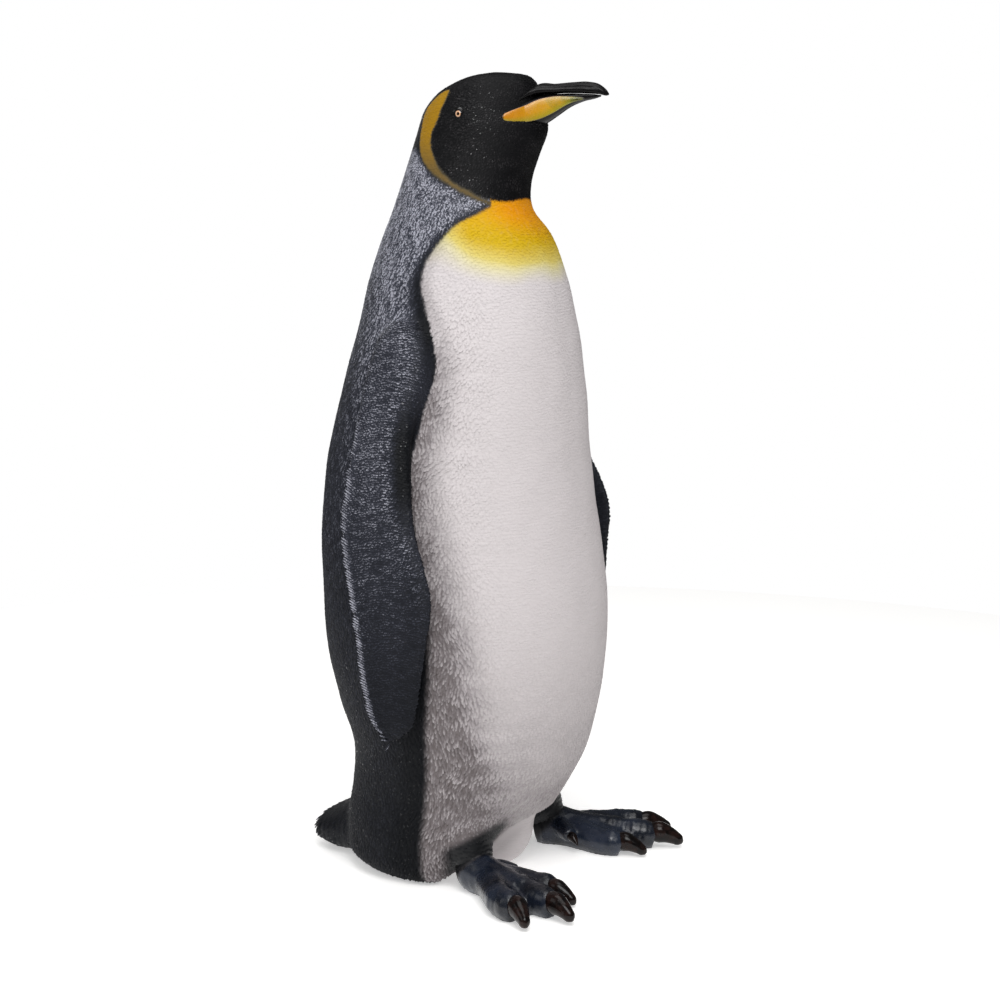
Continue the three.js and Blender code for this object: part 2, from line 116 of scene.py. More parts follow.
# Wavy values from -1 to 1 over a plane: three crossed sines that bend one another.
def waves(across, up, size):
    a, b = np.asarray(across, float) / size, np.asarray(up, float) / size
    first = np.sin(2.1 * a + 1.7 * np.sin(1.3 * b + 0.4))
    second = np.sin(1.9 * b + 1.5 * np.sin(1.1 * a + 2.0))
    third = np.sin(1.2 * (a + b) + 1.1 * np.sin(2.3 * a - 0.9 * b))
    return (first + second + third) / 3


def gridFaces(rings, around):
    # Quads between closed rings, with a fan of triangles to a pole at each end. Points: pole, rings, pole.
    i, j = np.meshgrid(np.arange(rings - 1), np.arange(around), indexing="ij")
    k = (j + 1) % around
    a, b = 1 + i * around, 1 + (i + 1) * around
    quads = np.stack([a + j, a + k, b + k, b + j], -1).reshape(-1, 4)
    j = np.arange(around)
    k = (j + 1) % around
    top = 1 + (rings - 1) * around
    last = np.full(around, top + around)
    fans = np.vstack([np.stack([0 * j, 1 + k, 1 + j], -1), np.stack([top + j, top + k, last], -1)])
    return quads.tolist() + fans.tolist()


def closedLoft(rings, firstPole=None, lastPole=None):
    # Points and outward faces of a closed surface through rings of points.
    rings = np.asarray(rings, float)
    firstPole = rings[0].mean(0) if firstPole is None else np.asarray(firstPole, float)
    lastPole = rings[-1].mean(0) if lastPole is None else np.asarray(lastPole, float)
    points = np.vstack([firstPole, rings.reshape(-1, 3), lastPole])
    faces = gridFaces(*rings.shape[:2])
    middle = points.mean(0)
    quads = np.array([f for f in faces if len(f) == 4])
    corners = points[quads]
    facing = np.cross(corners[:, 2] - corners[:, 0], corners[:, 3] - corners[:, 1])
    inside = (facing * (corners.mean(1) - middle)).sum() > 0
    # toRow mirrors the bird's axes, so a surface that faces in here faces out there.
    return points, [f[::-1] for f in faces] if inside else faces


def ballPoints(rings, around):
    # Points of a ball of radius 1 from its top down, without the two poles.
    polar = np.linspace(0, np.pi, rings)[1:-1, None]
    turn = np.linspace(0, 2 * np.pi, around, endpoint=False)[None]
    level = np.sin(polar)
    return np.stack([level * np.cos(turn), level * np.sin(turn), np.cos(polar) + 0 * turn], -1)


def joined(parts):
    points, faces, offset = [], [], 0
    for somePoints, someFaces in parts:
        points.append(somePoints)
        faces += [[v + offset for v in face] for face in someFaces]
        offset += len(somePoints)
    return np.vstack(points), faces


def addPiece(name, points, faces, material=None, smooth=True):
    mesh = bpy.data.meshes.new(name)
    mesh.from_pydata(toRow(points).tolist(), [], faces)
    mesh.update()
    if smooth:
        mesh.shade_smooth()
    piece = bpy.data.objects.new(name, mesh)
    bpy.context.scene.collection.objects.link(piece)
    if material:
        mesh.materials.append(material)
    return piece


def meshPoints(mesh):
    flat = np.zeros(len(mesh.vertices) * 3, np.float32)
    mesh.vertices.foreach_get("co", flat)
    return fromRow(flat.reshape(-1, 3))


def setPoints(mesh, points):
    mesh.vertices.foreach_set("co", toRow(points).astype(np.float32).ravel())
    mesh.update()


def vertexNormals(mesh):
    # Each point's smooth normal, in the bird's axes.
    flat = np.zeros(len(mesh.vertices) * 3, np.float32)
    mesh.vertex_normals.foreach_get("vector", flat)
    flat = flat.reshape(-1, 3)
    return np.stack([-flat[:, 1], -flat[:, 0], flat[:, 2]], -1)


def edgesOf(mesh):
    flat = np.zeros(len(mesh.edges) * 2, np.int32)
    mesh.edges.foreach_get("vertices", flat)
    return flat.reshape(-1, 2)


def applied(piece):
    # The piece's modifiers worked into its mesh.
    depsgraph = bpy.context.evaluated_depsgraph_get()
    made = bpy.data.meshes.new_from_object(piece.evaluated_get(depsgraph))
    old = piece.data
    piece.modifiers.clear()
    piece.data = made
    bpy.data.meshes.remove(old)
    made.name = piece.name
    return piece


def remeshed(piece, size):
    voxels = piece.modifiers.new("voxels", "REMESH")
    voxels.mode = "VOXEL"
    voxels.voxel_size = size * mm
    voxels.use_smooth_shade = True
    return applied(piece)


def relaxed(points, edges, weight, rounds):
    # Each round moves every point toward the mean of its neighbours, by its own weight.
    count = np.maximum(np.bincount(edges.ravel(), minlength=len(points)), 1)[:, None]
    for _ in range(rounds):
        total = np.stack([
            np.bincount(edges[:, 0], points[edges[:, 1], k], len(points))
            + np.bincount(edges[:, 1], points[edges[:, 0], k], len(points)) for k in range(3)], -1)
        points = points + weight[:, None] * (total / count - points)
    return points


def setValues(mesh, name, values):
    # One named triple for each point, which the materials read.
    layer = mesh.attributes.new(name, "FLOAT_VECTOR", "POINT")
    layer.data.foreach_set("vector", np.asarray(values, np.float32).ravel())


# The last triple holds the belly wash with its painted shade, the gloss and the brushed crest.
def setPaints(mesh, front, back, finishAndShade):
    for name, values in (("paintFront", front), ("paintBack", back), ("paintFinishAndShade", finishAndShade)):
        setValues(mesh, name, values)


studio = {
    "fromFront": 63,  # degrees from straight ahead toward the bird's right
    "distance": 2450, "cameraUp": 810, "aimUp": 431, "aside": 42,
    "frameWidth": 1163.5,  # what the frame takes in at the bird
    "floor": "#f7f6f4", "floorGlow": 0.42, "floorRadius": 1700,
    "world": 0.36, "worldInGloss": 0.10,  # how strongly the white room lights paint, and shows in varnish
}


def linear(hexColour):
    # An sRGB hex colour as linear red, green, blue and alpha.
    parts = np.array([int(hexColour[i:i + 2], 16) for i in (1, 3, 5)]) / 255
    parts = np.where(parts <= 0.04045, parts / 12.92, ((parts + 0.055) / 1.055) ** 2.4)
    return (*parts.tolist(), 1.0)


def node(tree, kind, inputs=None, **settings):
    # Adds a node, sets its properties, and fills its sockets with values or links.
    made = tree.nodes.new(kind)
    for name, value in settings.items():
        setattr(made, name, value)
    for socket, value in (inputs or {}).items():
        if isinstance(value, bpy.types.NodeSocket):
            tree.links.new(value, made.inputs[socket])
        else:
            made.inputs[socket].default_value = value
    return made


def makeStudio():
    angle = np.radians(studio["fromFront"])
    toward = np.array([np.cos(angle), np.sin(angle), 0])
    right = np.array([np.sin(angle), -np.cos(angle), 0])
    aim = right * studio["aside"] + [0, 0, studio["aimUp"]]
    eye = right * studio["aside"] + toward * studio["distance"] + [0, 0, studio["cameraUp"]]

    def aimed(thing, at, target):
        at, target = Vector(toRow(at)), Vector(toRow(target))
        facing = (target - at).to_track_quat("-Z", "Y").to_matrix().to_4x4()
        thing.matrix_world = Matrix.Translation(at) @ facing
        bpy.context.scene.collection.objects.link(thing)

    lens = bpy.data.cameras.new("studioCamera")
    lens.sensor_width = 36
    lens.lens = lens.sensor_width * np.linalg.norm(aim - eye) / studio["frameWidth"]
    camera = bpy.data.objects.new("studioCamera", lens)
    aimed(camera, eye, aim)
    bpy.context.scene.camera = camera

    # Softboxes: place as toward the camera, camera's right and up, then size and power.
    boxes = {
        "keySoftbox": [(1500, 150, 1750), 1100, 27],
        "fillSoftbox": [(900, -1700, 1300), 1200, 5],
        "topSoftbox": [(100, 100, 2400), 1400, 15],
        "rimSoftbox": [(-1300, -1100, 1300), 900, 5],
    }
    for name, (place, size, watts) in boxes.items():
        lamp = bpy.data.lights.new(name, "AREA")
        lamp.shape = "SQUARE"
        lamp.size = size * mm
        lamp.energy = watts
        box = bpy.data.objects.new(name, lamp)
        aimed(box, toward * place[0] + right * place[1] + [0, 0, place[2]], [0, 0, 480])

    # The room is white to the camera, and lights the statue more weakly.
    world = bpy.data.worlds.new("studioWorld")
    world.use_nodes = True
    tree = world.node_tree
    background = tree.nodes["Background"]
    background.inputs["Color"].default_value = linear("#ffffff")
    seen = node(tree, "ShaderNodeLightPath")
    lit = node(tree, "ShaderNodeMapRange", {"Value": seen.outputs["Is Glossy Ray"], "To Min": studio["world"],
                                            "To Max": studio["worldInGloss"]})
    strength = node(tree, "ShaderNodeMath", {0: seen.outputs["Is Camera Ray"], 1: lit.outputs[0]},
                    operation="MAXIMUM")
    tree.links.new(strength.outputs[0], background.inputs["Strength"])
    bpy.context.scene.world = world
    bpy.context.scene.view_settings.view_transform = "Standard"

    # A round floor just under the soles.
    turn = np.linspace(0, 2 * np.pi, 96, endpoint=False)
    rim = np.stack([np.cos(turn), np.sin(turn), 0 * turn], -1)
    below = [0, 0, 0.3]  # clear of the soles
    floorFace = list(range(len(rim)))
    floor = addPiece("studioFloor", rim * studio["floorRadius"] - below, [floorFace], smooth=False)
    paint = bpy.data.materials.new("paleMattFloorPaint")  # flat emulsion: no gleam, barely any colour
    paint.use_nodes = True
    shader = paint.node_tree.nodes["Principled BSDF"]
    shader.inputs["Base Color"].default_value = linear(studio["floor"])
    shader.inputs["Roughness"].default_value = 0.9
    shader.inputs["Emission Color"].default_value = linear("#ffffff")
    shader.inputs["Emission Strength"].default_value = studio["floorGlow"]
    floor.data.materials.append(paint)
    print("camera, light and floor made")


makeStudio()

body = {
    "ringPower": 2.15, "bellyLift": 68, "coatDepth": 0.8,
    # height, reach forward, reach of the back line, half width, narrowing to the front
    "rings": [
        [3, -10, -10, 0, 0], [6, 84, -116, 114, 0], [20, 101, -134, 126, 0], [50, 109, -136, 130, 0],
        [100, 126, -127, 133, 0], [150, 146, -125, 141, 0], [205, 159, -143, 150, 0],
        [260, 166, -157, 156, 0], [320, 167, -162, 158, 0], [400, 157, -164, 154, 0],
        [480, 146, -157, 146, 0], [560, 141, -139, 134, 0], [630, 133, -120, 119, 0],
        [690, 120, -106, 103, 0], [740, 101, -90, 86, 0], [768, 80, -79, 75, 0.04],
        [800, 80, -68, 67, 0.10], [830, 91, -59, 62, 0.20], [856, 100, -51, 57, 0.28],
        [880, 95, -41, 52, 0.32], [898, 91, -25, 45, 0.25], [911, 83, 0, 33, 0.15], [920, 44, 44, 0, 0],
    ],
    "fold": {"centre": [53, 4, 58], "half": [37, 37, 55]},
}
bodyKnots = np.array(body["rings"], float)
bodyKnots = np.concatenate([[0], np.cumsum(np.hypot(
    np.diff(bodyKnots[:, 0]), np.diff((bodyKnots[:, 1] - bodyKnots[:, 2]) / 2)))])
bodyTable = smoothCurve(body["rings"], bodyKnots, np.linspace(0, bodyKnots[-1], 700))
bodyTable[:, 0] = np.maximum(bodyTable[:, 0], body["rings"][0][0])
bodyRun = np.linspace(0, bodyKnots[-1], 700)


def turned(f, r, share):
    angle = headAngle * share
    return f * np.cos(angle) + r * np.sin(angle), r * np.cos(angle) - f * np.sin(angle)


def liftAt(f, up):
    return body["bellyLift"] * np.maximum(0, 1 - up / 150) ** 2 * smoothStep(f, 10, 100)


def bodyRow(run):
    # Height, front, back, half width and narrowing at a distance run up the body's outline.
    return [np.interp(run, bodyRun, bodyTable[:, k]) for k in range(5)]


def bodyAt(up):
    # Front, back, half width and narrowing at a height before the belly's lift.
    return [np.interp(up, bodyTable[:, 0], bodyTable[:, k]) for k in range(1, 5)]


def bodyPoint(angle, run, grow=0.0):
    # A superellipse ring between the front and back lines: narrower ahead, lifted under the belly, and turned
    # with the head.
    up, front, back, half, narrow = bodyRow(run)
    c, s = np.cos(angle), np.sin(angle)
    f = (front + back) / 2 + ((front - back) / 2 + grow) * power(c, 2 / body["ringPower"])
    r = (half + grow) * power(s, 2 / body["ringPower"]) * (1 - narrow * np.maximum(c, 0))
    ft, rt = turned(f, r, smoothStep(up, head["turnFrom"], head["turnTo"]))
    return np.stack([ft, rt, up + liftAt(f, up)], -1)


def bodyCoordinates(points):
    # The inverse: angle from the front in degrees, height before the belly's lift, and the unturned place.
    f, r, high = points[..., 0], points[..., 1], points[..., 2]
    back = -smoothStep(high, head["turnFrom"], head["turnTo"])
    f0, r0 = turned(f, r, back)
    up = high.copy()
    for _ in range(8):
        up = high - liftAt(f0, up)
    front, rear, half, narrow = bodyAt(up)
    c = (f0 - (front + rear) / 2) / np.maximum((front - rear) / 2, 1)
    s = r0 / np.maximum(half * (1 - narrow * np.clip(c, 0, 1)), 1)
    angle = np.degrees(np.arctan2(power(s, body["ringPower"] / 2), power(c, body["ringPower"] / 2)))
    return angle, up, np.stack([f0, r0, high], -1)


wing = {
    # distance from the shoulder, front edge, rear edge, half thickness
    "sections": [
        [0, -8, -8, 0], [14, 22, -38, 13], [60, 30, -50, 15], [130, 19, -56, 12.5], [185, 22, -59, 11],
        [241, 31, -62, 10], [278, 44, -57, 9.5], [308, 52, -50, 9], [363, 46, -39, 7.5], [418, 37, -31, 6],
        [457, 27, -19, 4.5], [479, 2, 2, 0],
    ],
    "shoulder": {"forward": 0, "side": 115, "up": 650},
    "pose": {  # degrees off plumb at the shoulder and the tip, swung forward, and the outer wing's twist
        "right": {"shoulderOut": 21, "tipOut": -1, "swing": 0, "twist": 8},
        "left": {"shoulderOut": 51, "tipOut": 12, "swing": 2.5, "twist": 40},
    },
    "ease": 1.6,
}
sides = {"right": 1, "left": -1}
wingKnots = runningDistance([[s, (a - b) / 2] for s, a, b, _ in wing["sections"]], [0, 1])
wingTable = smoothCurve(wing["sections"], wingKnots, np.linspace(0, wingKnots[-1], 400))
wingLength = wing["sections"][-1][0]


def wingEdges(s):
    # The front and rear edges at a distance down the wing.
    return [np.interp(s, wingTable[:, 0], wingTable[:, k]) for k in (1, 2)]


def wingPoint(side, s, turn, grow=0.0):
    # A flat oval section carried down the wing's bent middle line. turn runs round it: 0 is the front edge,
    # 90 degrees the outer face. The outer wing twists its front edge in.
    pose = wing["pose"][side]
    run = np.linspace(0, wingLength, 240)
    share = (1 - run / wingLength) ** wing["ease"]
    angles = np.radians(pose["tipOut"] + (pose["shoulderOut"] - pose["tipOut"]) * share)
    step = run[1]
    outLine = np.concatenate([[0], np.cumsum(np.sin(angles[:-1]) * step)])
    downLine = np.concatenate([[0], np.cumsum(np.cos(angles[:-1]) * step)])
    out, down, angle = [np.interp(s, run, line) for line in (outLine, downLine, angles)]
    lead, trail, half = [np.interp(s, wingTable[:, 0], wingTable[:, k]) for k in (1, 2, 3)]
    chord = (lead + trail) / 2 + ((lead - trail) / 2 + grow) * np.cos(turn)
    thick = (half + grow) * np.sin(turn) * (1 + 0.3 * np.cos(turn))
    twist = np.radians(pose["twist"]) * smoothStep(s / wingLength, 0.4, 1)
    chord, thick = (chord * np.cos(twist) + thick * np.sin(twist),
                    thick * np.cos(twist) - chord * np.sin(twist))
    place = wing["shoulder"]
    return np.stack([
        place["forward"] + chord + s * np.sin(np.radians(pose["swing"])),
        sides[side] * (place["side"] + out + thick * np.cos(angle)),
        place["up"] - down + thick * np.sin(angle),
    ], -1)


tail = {"sections": [[-70, 45, 70, 40], [-115, 37, 76, 38], [-146, 28, 66, 30],
                     [-166, 25, 57, 22], [-179, 24, 46, 17], [-185, 23, 30, 10]]}
foot = {
    "ankle": {"forward": 61, "side": 95, "up": 34}, "hip": {"forward": 26, "side": 84, "up": 118},
    "leg": [[0, 32], [0.35, 35], [0.70, 31], [1.0, 25]],
    "splay": {"right": 22, "left": 19}, "soleSink": 2.2,
    "toes": {
        "middle": {"end": [134, -1], "radius": 17, "claw": 33, "lean": 0.03},
        "outer": {"end": [117, 38], "radius": 17, "claw": 32, "lean": 0.42},
        "inner": {"end": [96, -36], "radius": 15, "claw": 30, "lean": -0.2},
    },
    "palm": [[-14, 13, 22], [4, 22, 25], [30, 22, 22], [60, 29, 19], [86, 37, 15], [104, 40, 11],
             [112, 30, 6]],
    "hallux": {"from": [20, -16, 26], "end": [35, -36, 20], "radius": 9.5, "claw": 16},
    "claw": [[-7, 0.55, 0.6, 2], [6, 0.68, 0.76, 1.5], [14, 0.56, 0.62, -1], [22, 0.42, 0.48, -5],
             [28, 0.27, 0.31, -9], [30, 0.10, 0.12, -10.3]],
    # Relief on the top of a foot. A knuckle is place along, width and height; a pebbling is size and height.
    "creaseSpacing": 7.5, "crease": 0.14, "knuckles": [[84, 9, 1.5], [108, 7, 1.2]],
    "finePebble": [4.2, 0.22], "coarsePebble": [9, 0.45],
}


def limb(rows, around=24, count=24, shape=1.0):
    # A round section carried along a path of rows: forward, right, up, half width, half height.
    rows = resampled(rows, count, [0, 1, 2])
    middle = rows[:, :3]
    along = unit(np.gradient(middle, axis=0))
    helper = np.where(np.abs(along[:, 2:]) > 0.9, [[1.0, 0, 0]], [[0, 0, 1.0]])
    across = unit(np.cross(along, helper))
    upward = np.cross(across, along)
    turn = np.linspace(0, 2 * np.pi, around, endpoint=False)[None, :, None]
    rings = (middle[:, None] + across[:, None] * rows[:, None, 3:4] * power(np.cos(turn), shape)
             + upward[:, None] * rows[:, None, 4:5] * power(np.sin(turn), shape))
    return closedLoft(rings)


def footPlace(side, along, out):
    angle = np.radians(foot["splay"][side])
    forward = foot["ankle"]["forward"] + along * np.cos(angle) - out * np.sin(angle)
    return forward, sides[side] * (foot["ankle"]["side"] + along * np.sin(angle) + out * np.cos(angle))


def footAxes(side, points):
    # How far each point lies along a foot's middle toe and outward of it, from the ankle.
    angle = np.radians(foot["splay"][side])
    ahead = points[:, 0] - foot["ankle"]["forward"]
    aside = sides[side] * points[:, 1] - foot["ankle"]["side"]
    return ahead * np.cos(angle) + aside * np.sin(angle), aside * np.cos(angle) - ahead * np.sin(angle)


def toeRows(side, toe):
    rows = []
    for t in (0, 0.25, 0.5, 0.75, 0.93, 1):
        end = 1 if t <= 0.95 else 0.8
        half = (21 + (toe["radius"] - 21) * min(1, 1.4 * t)) * end * 0.92
        tall = (23 + (toe["radius"] - 23) * min(1, 1.15 * t)) * (1 if t <= 0.95 else 0.85)
        spread = float(smoothStep(t, 0.1, 0.9))
        at = footPlace(side, toe["end"][0] * t, toe["end"][1] * spread)
        rows.append([*at, tall - foot["soleSink"], half, tall])
    return rows


def palmRows(side):
    return [[*footPlace(side, along, 2), tall - foot["soleSink"], half, tall]
            for along, half, tall in foot["palm"]]


def halluxRows(side):
    start, end = np.array(foot["hallux"]["from"]), np.array(foot["hallux"]["end"])
    radius = foot["hallux"]["radius"]
    rows = []
    for t in (0, 0.5, 1):
        at = start + (end - start) * t
        half = radius * (0.85 if t == 1 else 1.1)
        rows.append([*footPlace(side, at[0], at[1]), at[2], half, half])
    return rows


def legRows(side):
    hip, ankle = foot["hip"], foot["ankle"]
    rows = []
    for share, half in foot["leg"]:
        at = [hip[k] + (ankle[k] - hip[k]) * share for k in ("forward", "side")]
        up = hip["up"] + (ankle["up"] - 4 - hip["up"]) * share  # the leg ends 4 mm inside the foot
        rows.append([at[0], sides[side] * at[1], up, half, half])
    return rows


def clawRows(side, toe):
    rows = []
    for along, wide, high, drop in foot["claw"]:
        ahead = along * toe["claw"] / 30
        at = footPlace(side, toe["end"][0] + ahead, toe["end"][1] + toe["lean"] * ahead)
        rows.append([*at, toe["radius"] + drop, toe["radius"] * wide, toe["radius"] * high])
    return rows


def halluxClawRows(side):
    hallux = foot["hallux"]
    start, end = np.array(hallux["from"][:2]), np.array(hallux["end"][:2])
    step = unit(end - start)
    rows = []
    reach = hallux["claw"]
    for along, wide, drop in ([-5, 0.5, 0], [4, 0.6, 0], [0.6 * reach, 0.4, -3], [reach, 0.06, -7]):
        at = footPlace(side, *(end + step * along))
        rows.append([*at, hallux["end"][2] + drop, hallux["radius"] * wide, hallux["radius"] * wide])
    return rows


# Borders between the paints, as angle from the front in degrees and height. Both sides are alike.
borders = {
    "white": {  # the white front: up the flank, in at the armpit, out round the shoulder, in to the throat
        "edge": [[76, -30], [78, 24], [81, 84], [84, 158], [81, 230], [79, 288], [82, 387], [85, 480],
                 [81, 560], [79, 600], [82, 628], [88, 660], [92, 694], [88, 722], [80, 740], [69, 754],
                 [55, 762], [43, 770]],
        "close": [[45, 781], [30, 779], [14, 780], [-20, 782], [-20, -60], [76, -60]],
    },
    "patch": {  # the comma behind the cheek, which runs on to the bib as a thin band
        "edge": [[44, 771], [59, 778], [74, 786], [89, 796], [102, 805], [118, 817], [130, 828], [141, 843],
                 [148, 860], [151, 878], [146, 892], [137, 899], [128, 897], [122, 887], [121, 873],
                 [123, 861], [125, 851], [122, 841], [117, 833], [109, 823], [95, 808], [79, 794.5],
                 [64, 786.5], [50, 778.5], [43, 776]],
        "close": [],
    },
    "hood": {  # everything above this line is the black hood, nape strip included
        "edge": [[-6, 779], [14, 777], [30, 776], [42, 777], [59, 781], [74, 788], [89, 798], [102, 807],
                 [118, 819], [130, 829], [141, 835], [160, 836], [186, 836]],
        "close": [[186, 990], [-6, 990]],
    },
}
# How light the grey-blue paint is at each height, from the tail to the nape.
slateTones = [[0, 0.08], [120, 0.10], [250, 0.19], [400, 0.33], [500, 0.44], [580, 0.62], [640, 0.84],
              [700, 0.95], [760, 1.04], [835, 1.10]]


def spun(rows, count=6):
    # A smooth line through given points.
    return resampled(rows, count * (len(rows) - 1) + 1, [0, 1])


def placedBorder(rows):
    # Border points on the body's surface with the head unturned, which is where distances are measured.
    rows = np.asarray(rows, float)
    run = np.interp(rows[:, 1], bodyTable[:, 0], bodyRun)
    points = bodyPoint(np.radians(rows[:, 0]), run)
    return bodyCoordinates(points)[2]


def lineDistance(points, line):
    # The shortest way from each point to a line of short straight stretches.
    best = np.full(len(points), 1e9)
    for start, end in zip(line[:-1], line[1:]):
        along = end - start
        share = np.clip(((points - start) @ along) / max(along @ along, 1e-9), 0, 1)
        best = np.minimum(best, np.linalg.norm(points - start - share[:, None] * along, axis=1))
    return best


def insideOutline(x, y, outline):
    # Even-odd rule: a level ray from the point crosses the outline an odd number of times.
    inside = np.zeros(len(x), bool)
    for (x0, y0), (x1, y1) in zip(outline, np.roll(outline, -1, axis=0)):
        crosses = (y0 > y) != (y1 > y)
        at = x0 + (y - y0) * (x1 - x0) / (y1 - y0 if y1 != y0 else 1e-9)
        inside ^= crosses & (x < at)
    return inside


def borderDepth(name, angle, up, flat):
    # Millimetres inside a border, less than nothing outside it.
    line = spun(borders[name]["edge"])
    outline = np.vstack([line, borders[name]["close"]]) if borders[name]["close"] else line
    depth = lineDistance(flat, placedBorder(line))
    return np.where(insideOutline(angle, up, outline), depth, -depth)


def ankleBlack(points):
    # Black sprayed round each leg where it leaves the belly, higher at its front.
    black = np.zeros(len(points))
    for side in sides.values():
        share = np.clip((118 - points[:, 2]) / 88, 0, 1)
        f = 26 + 35 * share
        r = side * (84 + 11 * share)
        near = 1 - smoothStep(np.hypot(points[:, 0] - f - 10, points[:, 1] - r), 32, 50)
        limit = 36 + 0.55 * (points[:, 0] - 20)
        black = np.maximum(black, near * (1 - smoothStep(points[:, 2], limit - 3, limit + 9)))
    return black


def markings(points, onWing, onFoot, wingCoordinates=None):
    # The paints at each point as three triples: white, bib and orange; hood, patch and grey tone; wash with
    # painted shade, gloss and brushed crest. Points are on the body, a wing or a foot, by share.
    angle, up, flat = bodyCoordinates(points)
    angle = np.abs(angle)
    flat = flat.copy()
    flat[:, 1] = np.abs(flat[:, 1])
    onBody = 1 - np.clip(onWing + onFoot, 0, 1)
    ragged = 0.8 * waves(flat[:, 0] + flat[:, 1], flat[:, 2], 4.5)
    whiteDepth = borderDepth("white", angle, up, flat)
    whiteSoft = 2.5 + 3.5 * (1 - smoothStep(up, 250, 500))
    white = smoothStep(whiteDepth + ragged, -whiteSoft, whiteSoft) * onBody
    patch = smoothStep(borderDepth("patch", angle, up, flat) + 0.6 * ragged, -1.6, 2.2) * onBody
    patch = patch * np.interp(up, [782, 812, 850], [0.40, 0.50, 1.0])
    hoodDepth = borderDepth("hood", angle, up, flat)
    hood = smoothStep(hoodDepth + 0.6 * ragged, -1.5, 1.5) * onBody
    # Bib: yellow that fades down the breast and out to the sides, with orange under the throat.
    fadeAt = 694 + 20 * smoothStep(angle, 45, 88)
    bib = smoothStep(up + 3 * waves(flat[:, 1], flat[:, 2], 16), fadeAt - 12, fadeAt + 40)
    bib = bib * (1 - 0.55 * smoothStep(angle, 62, 88))
    orange = smoothStep(up - 0.16 * angle, 722, 766) * (1 - 0.6 * smoothStep(angle, 20, 60))
    # Grey-blue paint: lighter toward the nape, black beside the white front and round the patch.
    tones = np.array(slateTones, float)
    slate = np.interp(up, tones[:, 0], tones[:, 1])
    behind = smoothStep(angle, 118, 132) * (1 - smoothStep(up, 640, 720)) * smoothStep(up, 420, 560)
    slate = slate * (1 - 0.30 * behind)
    outside = np.maximum(-whiteDepth, 0)
    reach = np.interp(up, [0, 250, 380, 470, 560, 640, 700, 770], [62, 56, 44, 42, 40, 30, 18, 10])
    edgeDark = (1 - smoothStep(outside, 0.25 * reach, reach)) * np.interp(
        up, [0, 400, 560, 640, 720, 770], [0.9, 1.0, 1.0, 1.0, 0.75, 0.6])
    patchLine = 0.75 * (1 - smoothStep(-hoodDepth, 1, 8)) * smoothStep(up, 775, 800)
    slate = slate * (1 - np.clip(edgeDark, 0, 1) * onBody) * (1 - patchLine * onBody)
    # Belly wash with painted shade: brown-grey rubbed in beside the wings and along the flank, partly painted
    # shade, and painted shade that darkens the belly toward the bottom.
    inside = np.maximum(whiteDepth, 0)
    width = np.interp(up, [0, 120, 260, 420, 560, 640, 740], [120, 108, 80, 62, 42, 24, 12])
    amount = np.interp(up, [0, 60, 160, 280, 420, 560, 640, 740],
                       [1.15, 1.15, 1.1, 0.95, 0.85, 0.8, 0.45, 0.3])
    # painted shade: the last term darkens the belly toward the bottom
    washAndShade = (1 - smoothStep(inside, 2, width)) * amount + 0.60 * (1 - smoothStep(up, 20, 360))
    washAndShade = np.clip(washAndShade * (1 + 0.16 * waves(flat[:, 0] * 1.3, flat[:, 2], 22)), 0, 1)
    foldAt = np.array(body["fold"]["centre"], float)
    onFold = np.linalg.norm((points - foldAt) / np.array(body["fold"]["half"]), axis=1)
    onFold = 1 - smoothStep(onFold, 1.0, 1.25)
    white = np.maximum(white, onFold * onBody)
    washAndShade = washAndShade * (1 - 0.95 * onFold)
    black = np.clip(ankleBlack(points) * (1 - 0.8 * onFold), 0, 1) * onBody
    white = white * (1 - black)
    slate = slate * (1 - black)
    if wingCoordinates is not None:
        s, chord, outer = wingCoordinates
        along = np.interp(s, [0, 60, 150, 260, 400, 479], [0.95, 0.88, 0.76, 0.58, 0.24, 0.14])
        across = 1 - 0.35 * smoothStep(chord, 0, 40) * smoothStep(s, 200, 300)
        lead = wingEdges(s)[0]
        # painted shade: the armpit is painted black where shade falls between wing and body
        paintedArmpitShade = smoothStep(chord - lead, -24, -10) * smoothStep(s, 50, 130) * (1 - smoothStep(s, 185, 260))
        across = across * (1 - paintedArmpitShade)  # black in the armpit
        wingTone = along * across * np.where(outer > 0, 1, 0.75)
        slate = slate * (1 - onWing) + wingTone * onWing
    gloss = np.clip(onFoot + 0.6 * black, 0, 1)
    triples = [white, bib, orange], [hood, patch, slate], [washAndShade, gloss, 0 * washAndShade]
    return [np.stack(triple, -1) for triple in triples]


skin = {
    "voxel": 3.4, "footVoxel": 1.9, "jointReach": 26, "jointRounds": 46,
    "flankWrinkles": 1.25, "swell": 0.5, "rimBead": 1.6, "frontRidge": 1.1,  # heights of the modelled relief
}


def bodyLoft(grow):
    run = np.linspace(0, bodyRun[-1], 170)[1:-1]
    turn = np.linspace(0, 2 * np.pi, 128, endpoint=False)
    rings = bodyPoint(turn[None, :], run[:, None], grow)
    first = [bodyTable[0, 1], 0, bodyTable[0, 0] + 4]
    last = [*turned(bodyTable[-1, 1], 0, 1), bodyTable[-1, 0] + grow]
    return closedLoft(rings, first, last)


def foldLoft():
    centre, half = np.array(body["fold"]["centre"]), np.array(body["fold"]["half"])
    ball = ballPoints(26, 40) * [1, 1, -1]
    return closedLoft(centre + ball * half, centre - [0, 0, half[2]], centre + [0, 0, half[2]])


def tailLoft():
    rows = resampled(tail["sections"], 30, [0, 1])
    turn = np.linspace(0, 2 * np.pi, 60, endpoint=False)[None]
    f, up, half, thick = [rows[:, k][:, None] for k in range(4)]
    return closedLoft(np.stack([f + 0 * turn, (half - 1) * power(np.cos(turn), 0.8),
                                up + (thick - 1) * power(np.sin(turn), 0.8)], -1))


wingGrid = {"s": np.linspace(2, wingLength - 1.5, 190), "turn": np.linspace(0, 2 * np.pi, 56, endpoint=False)}


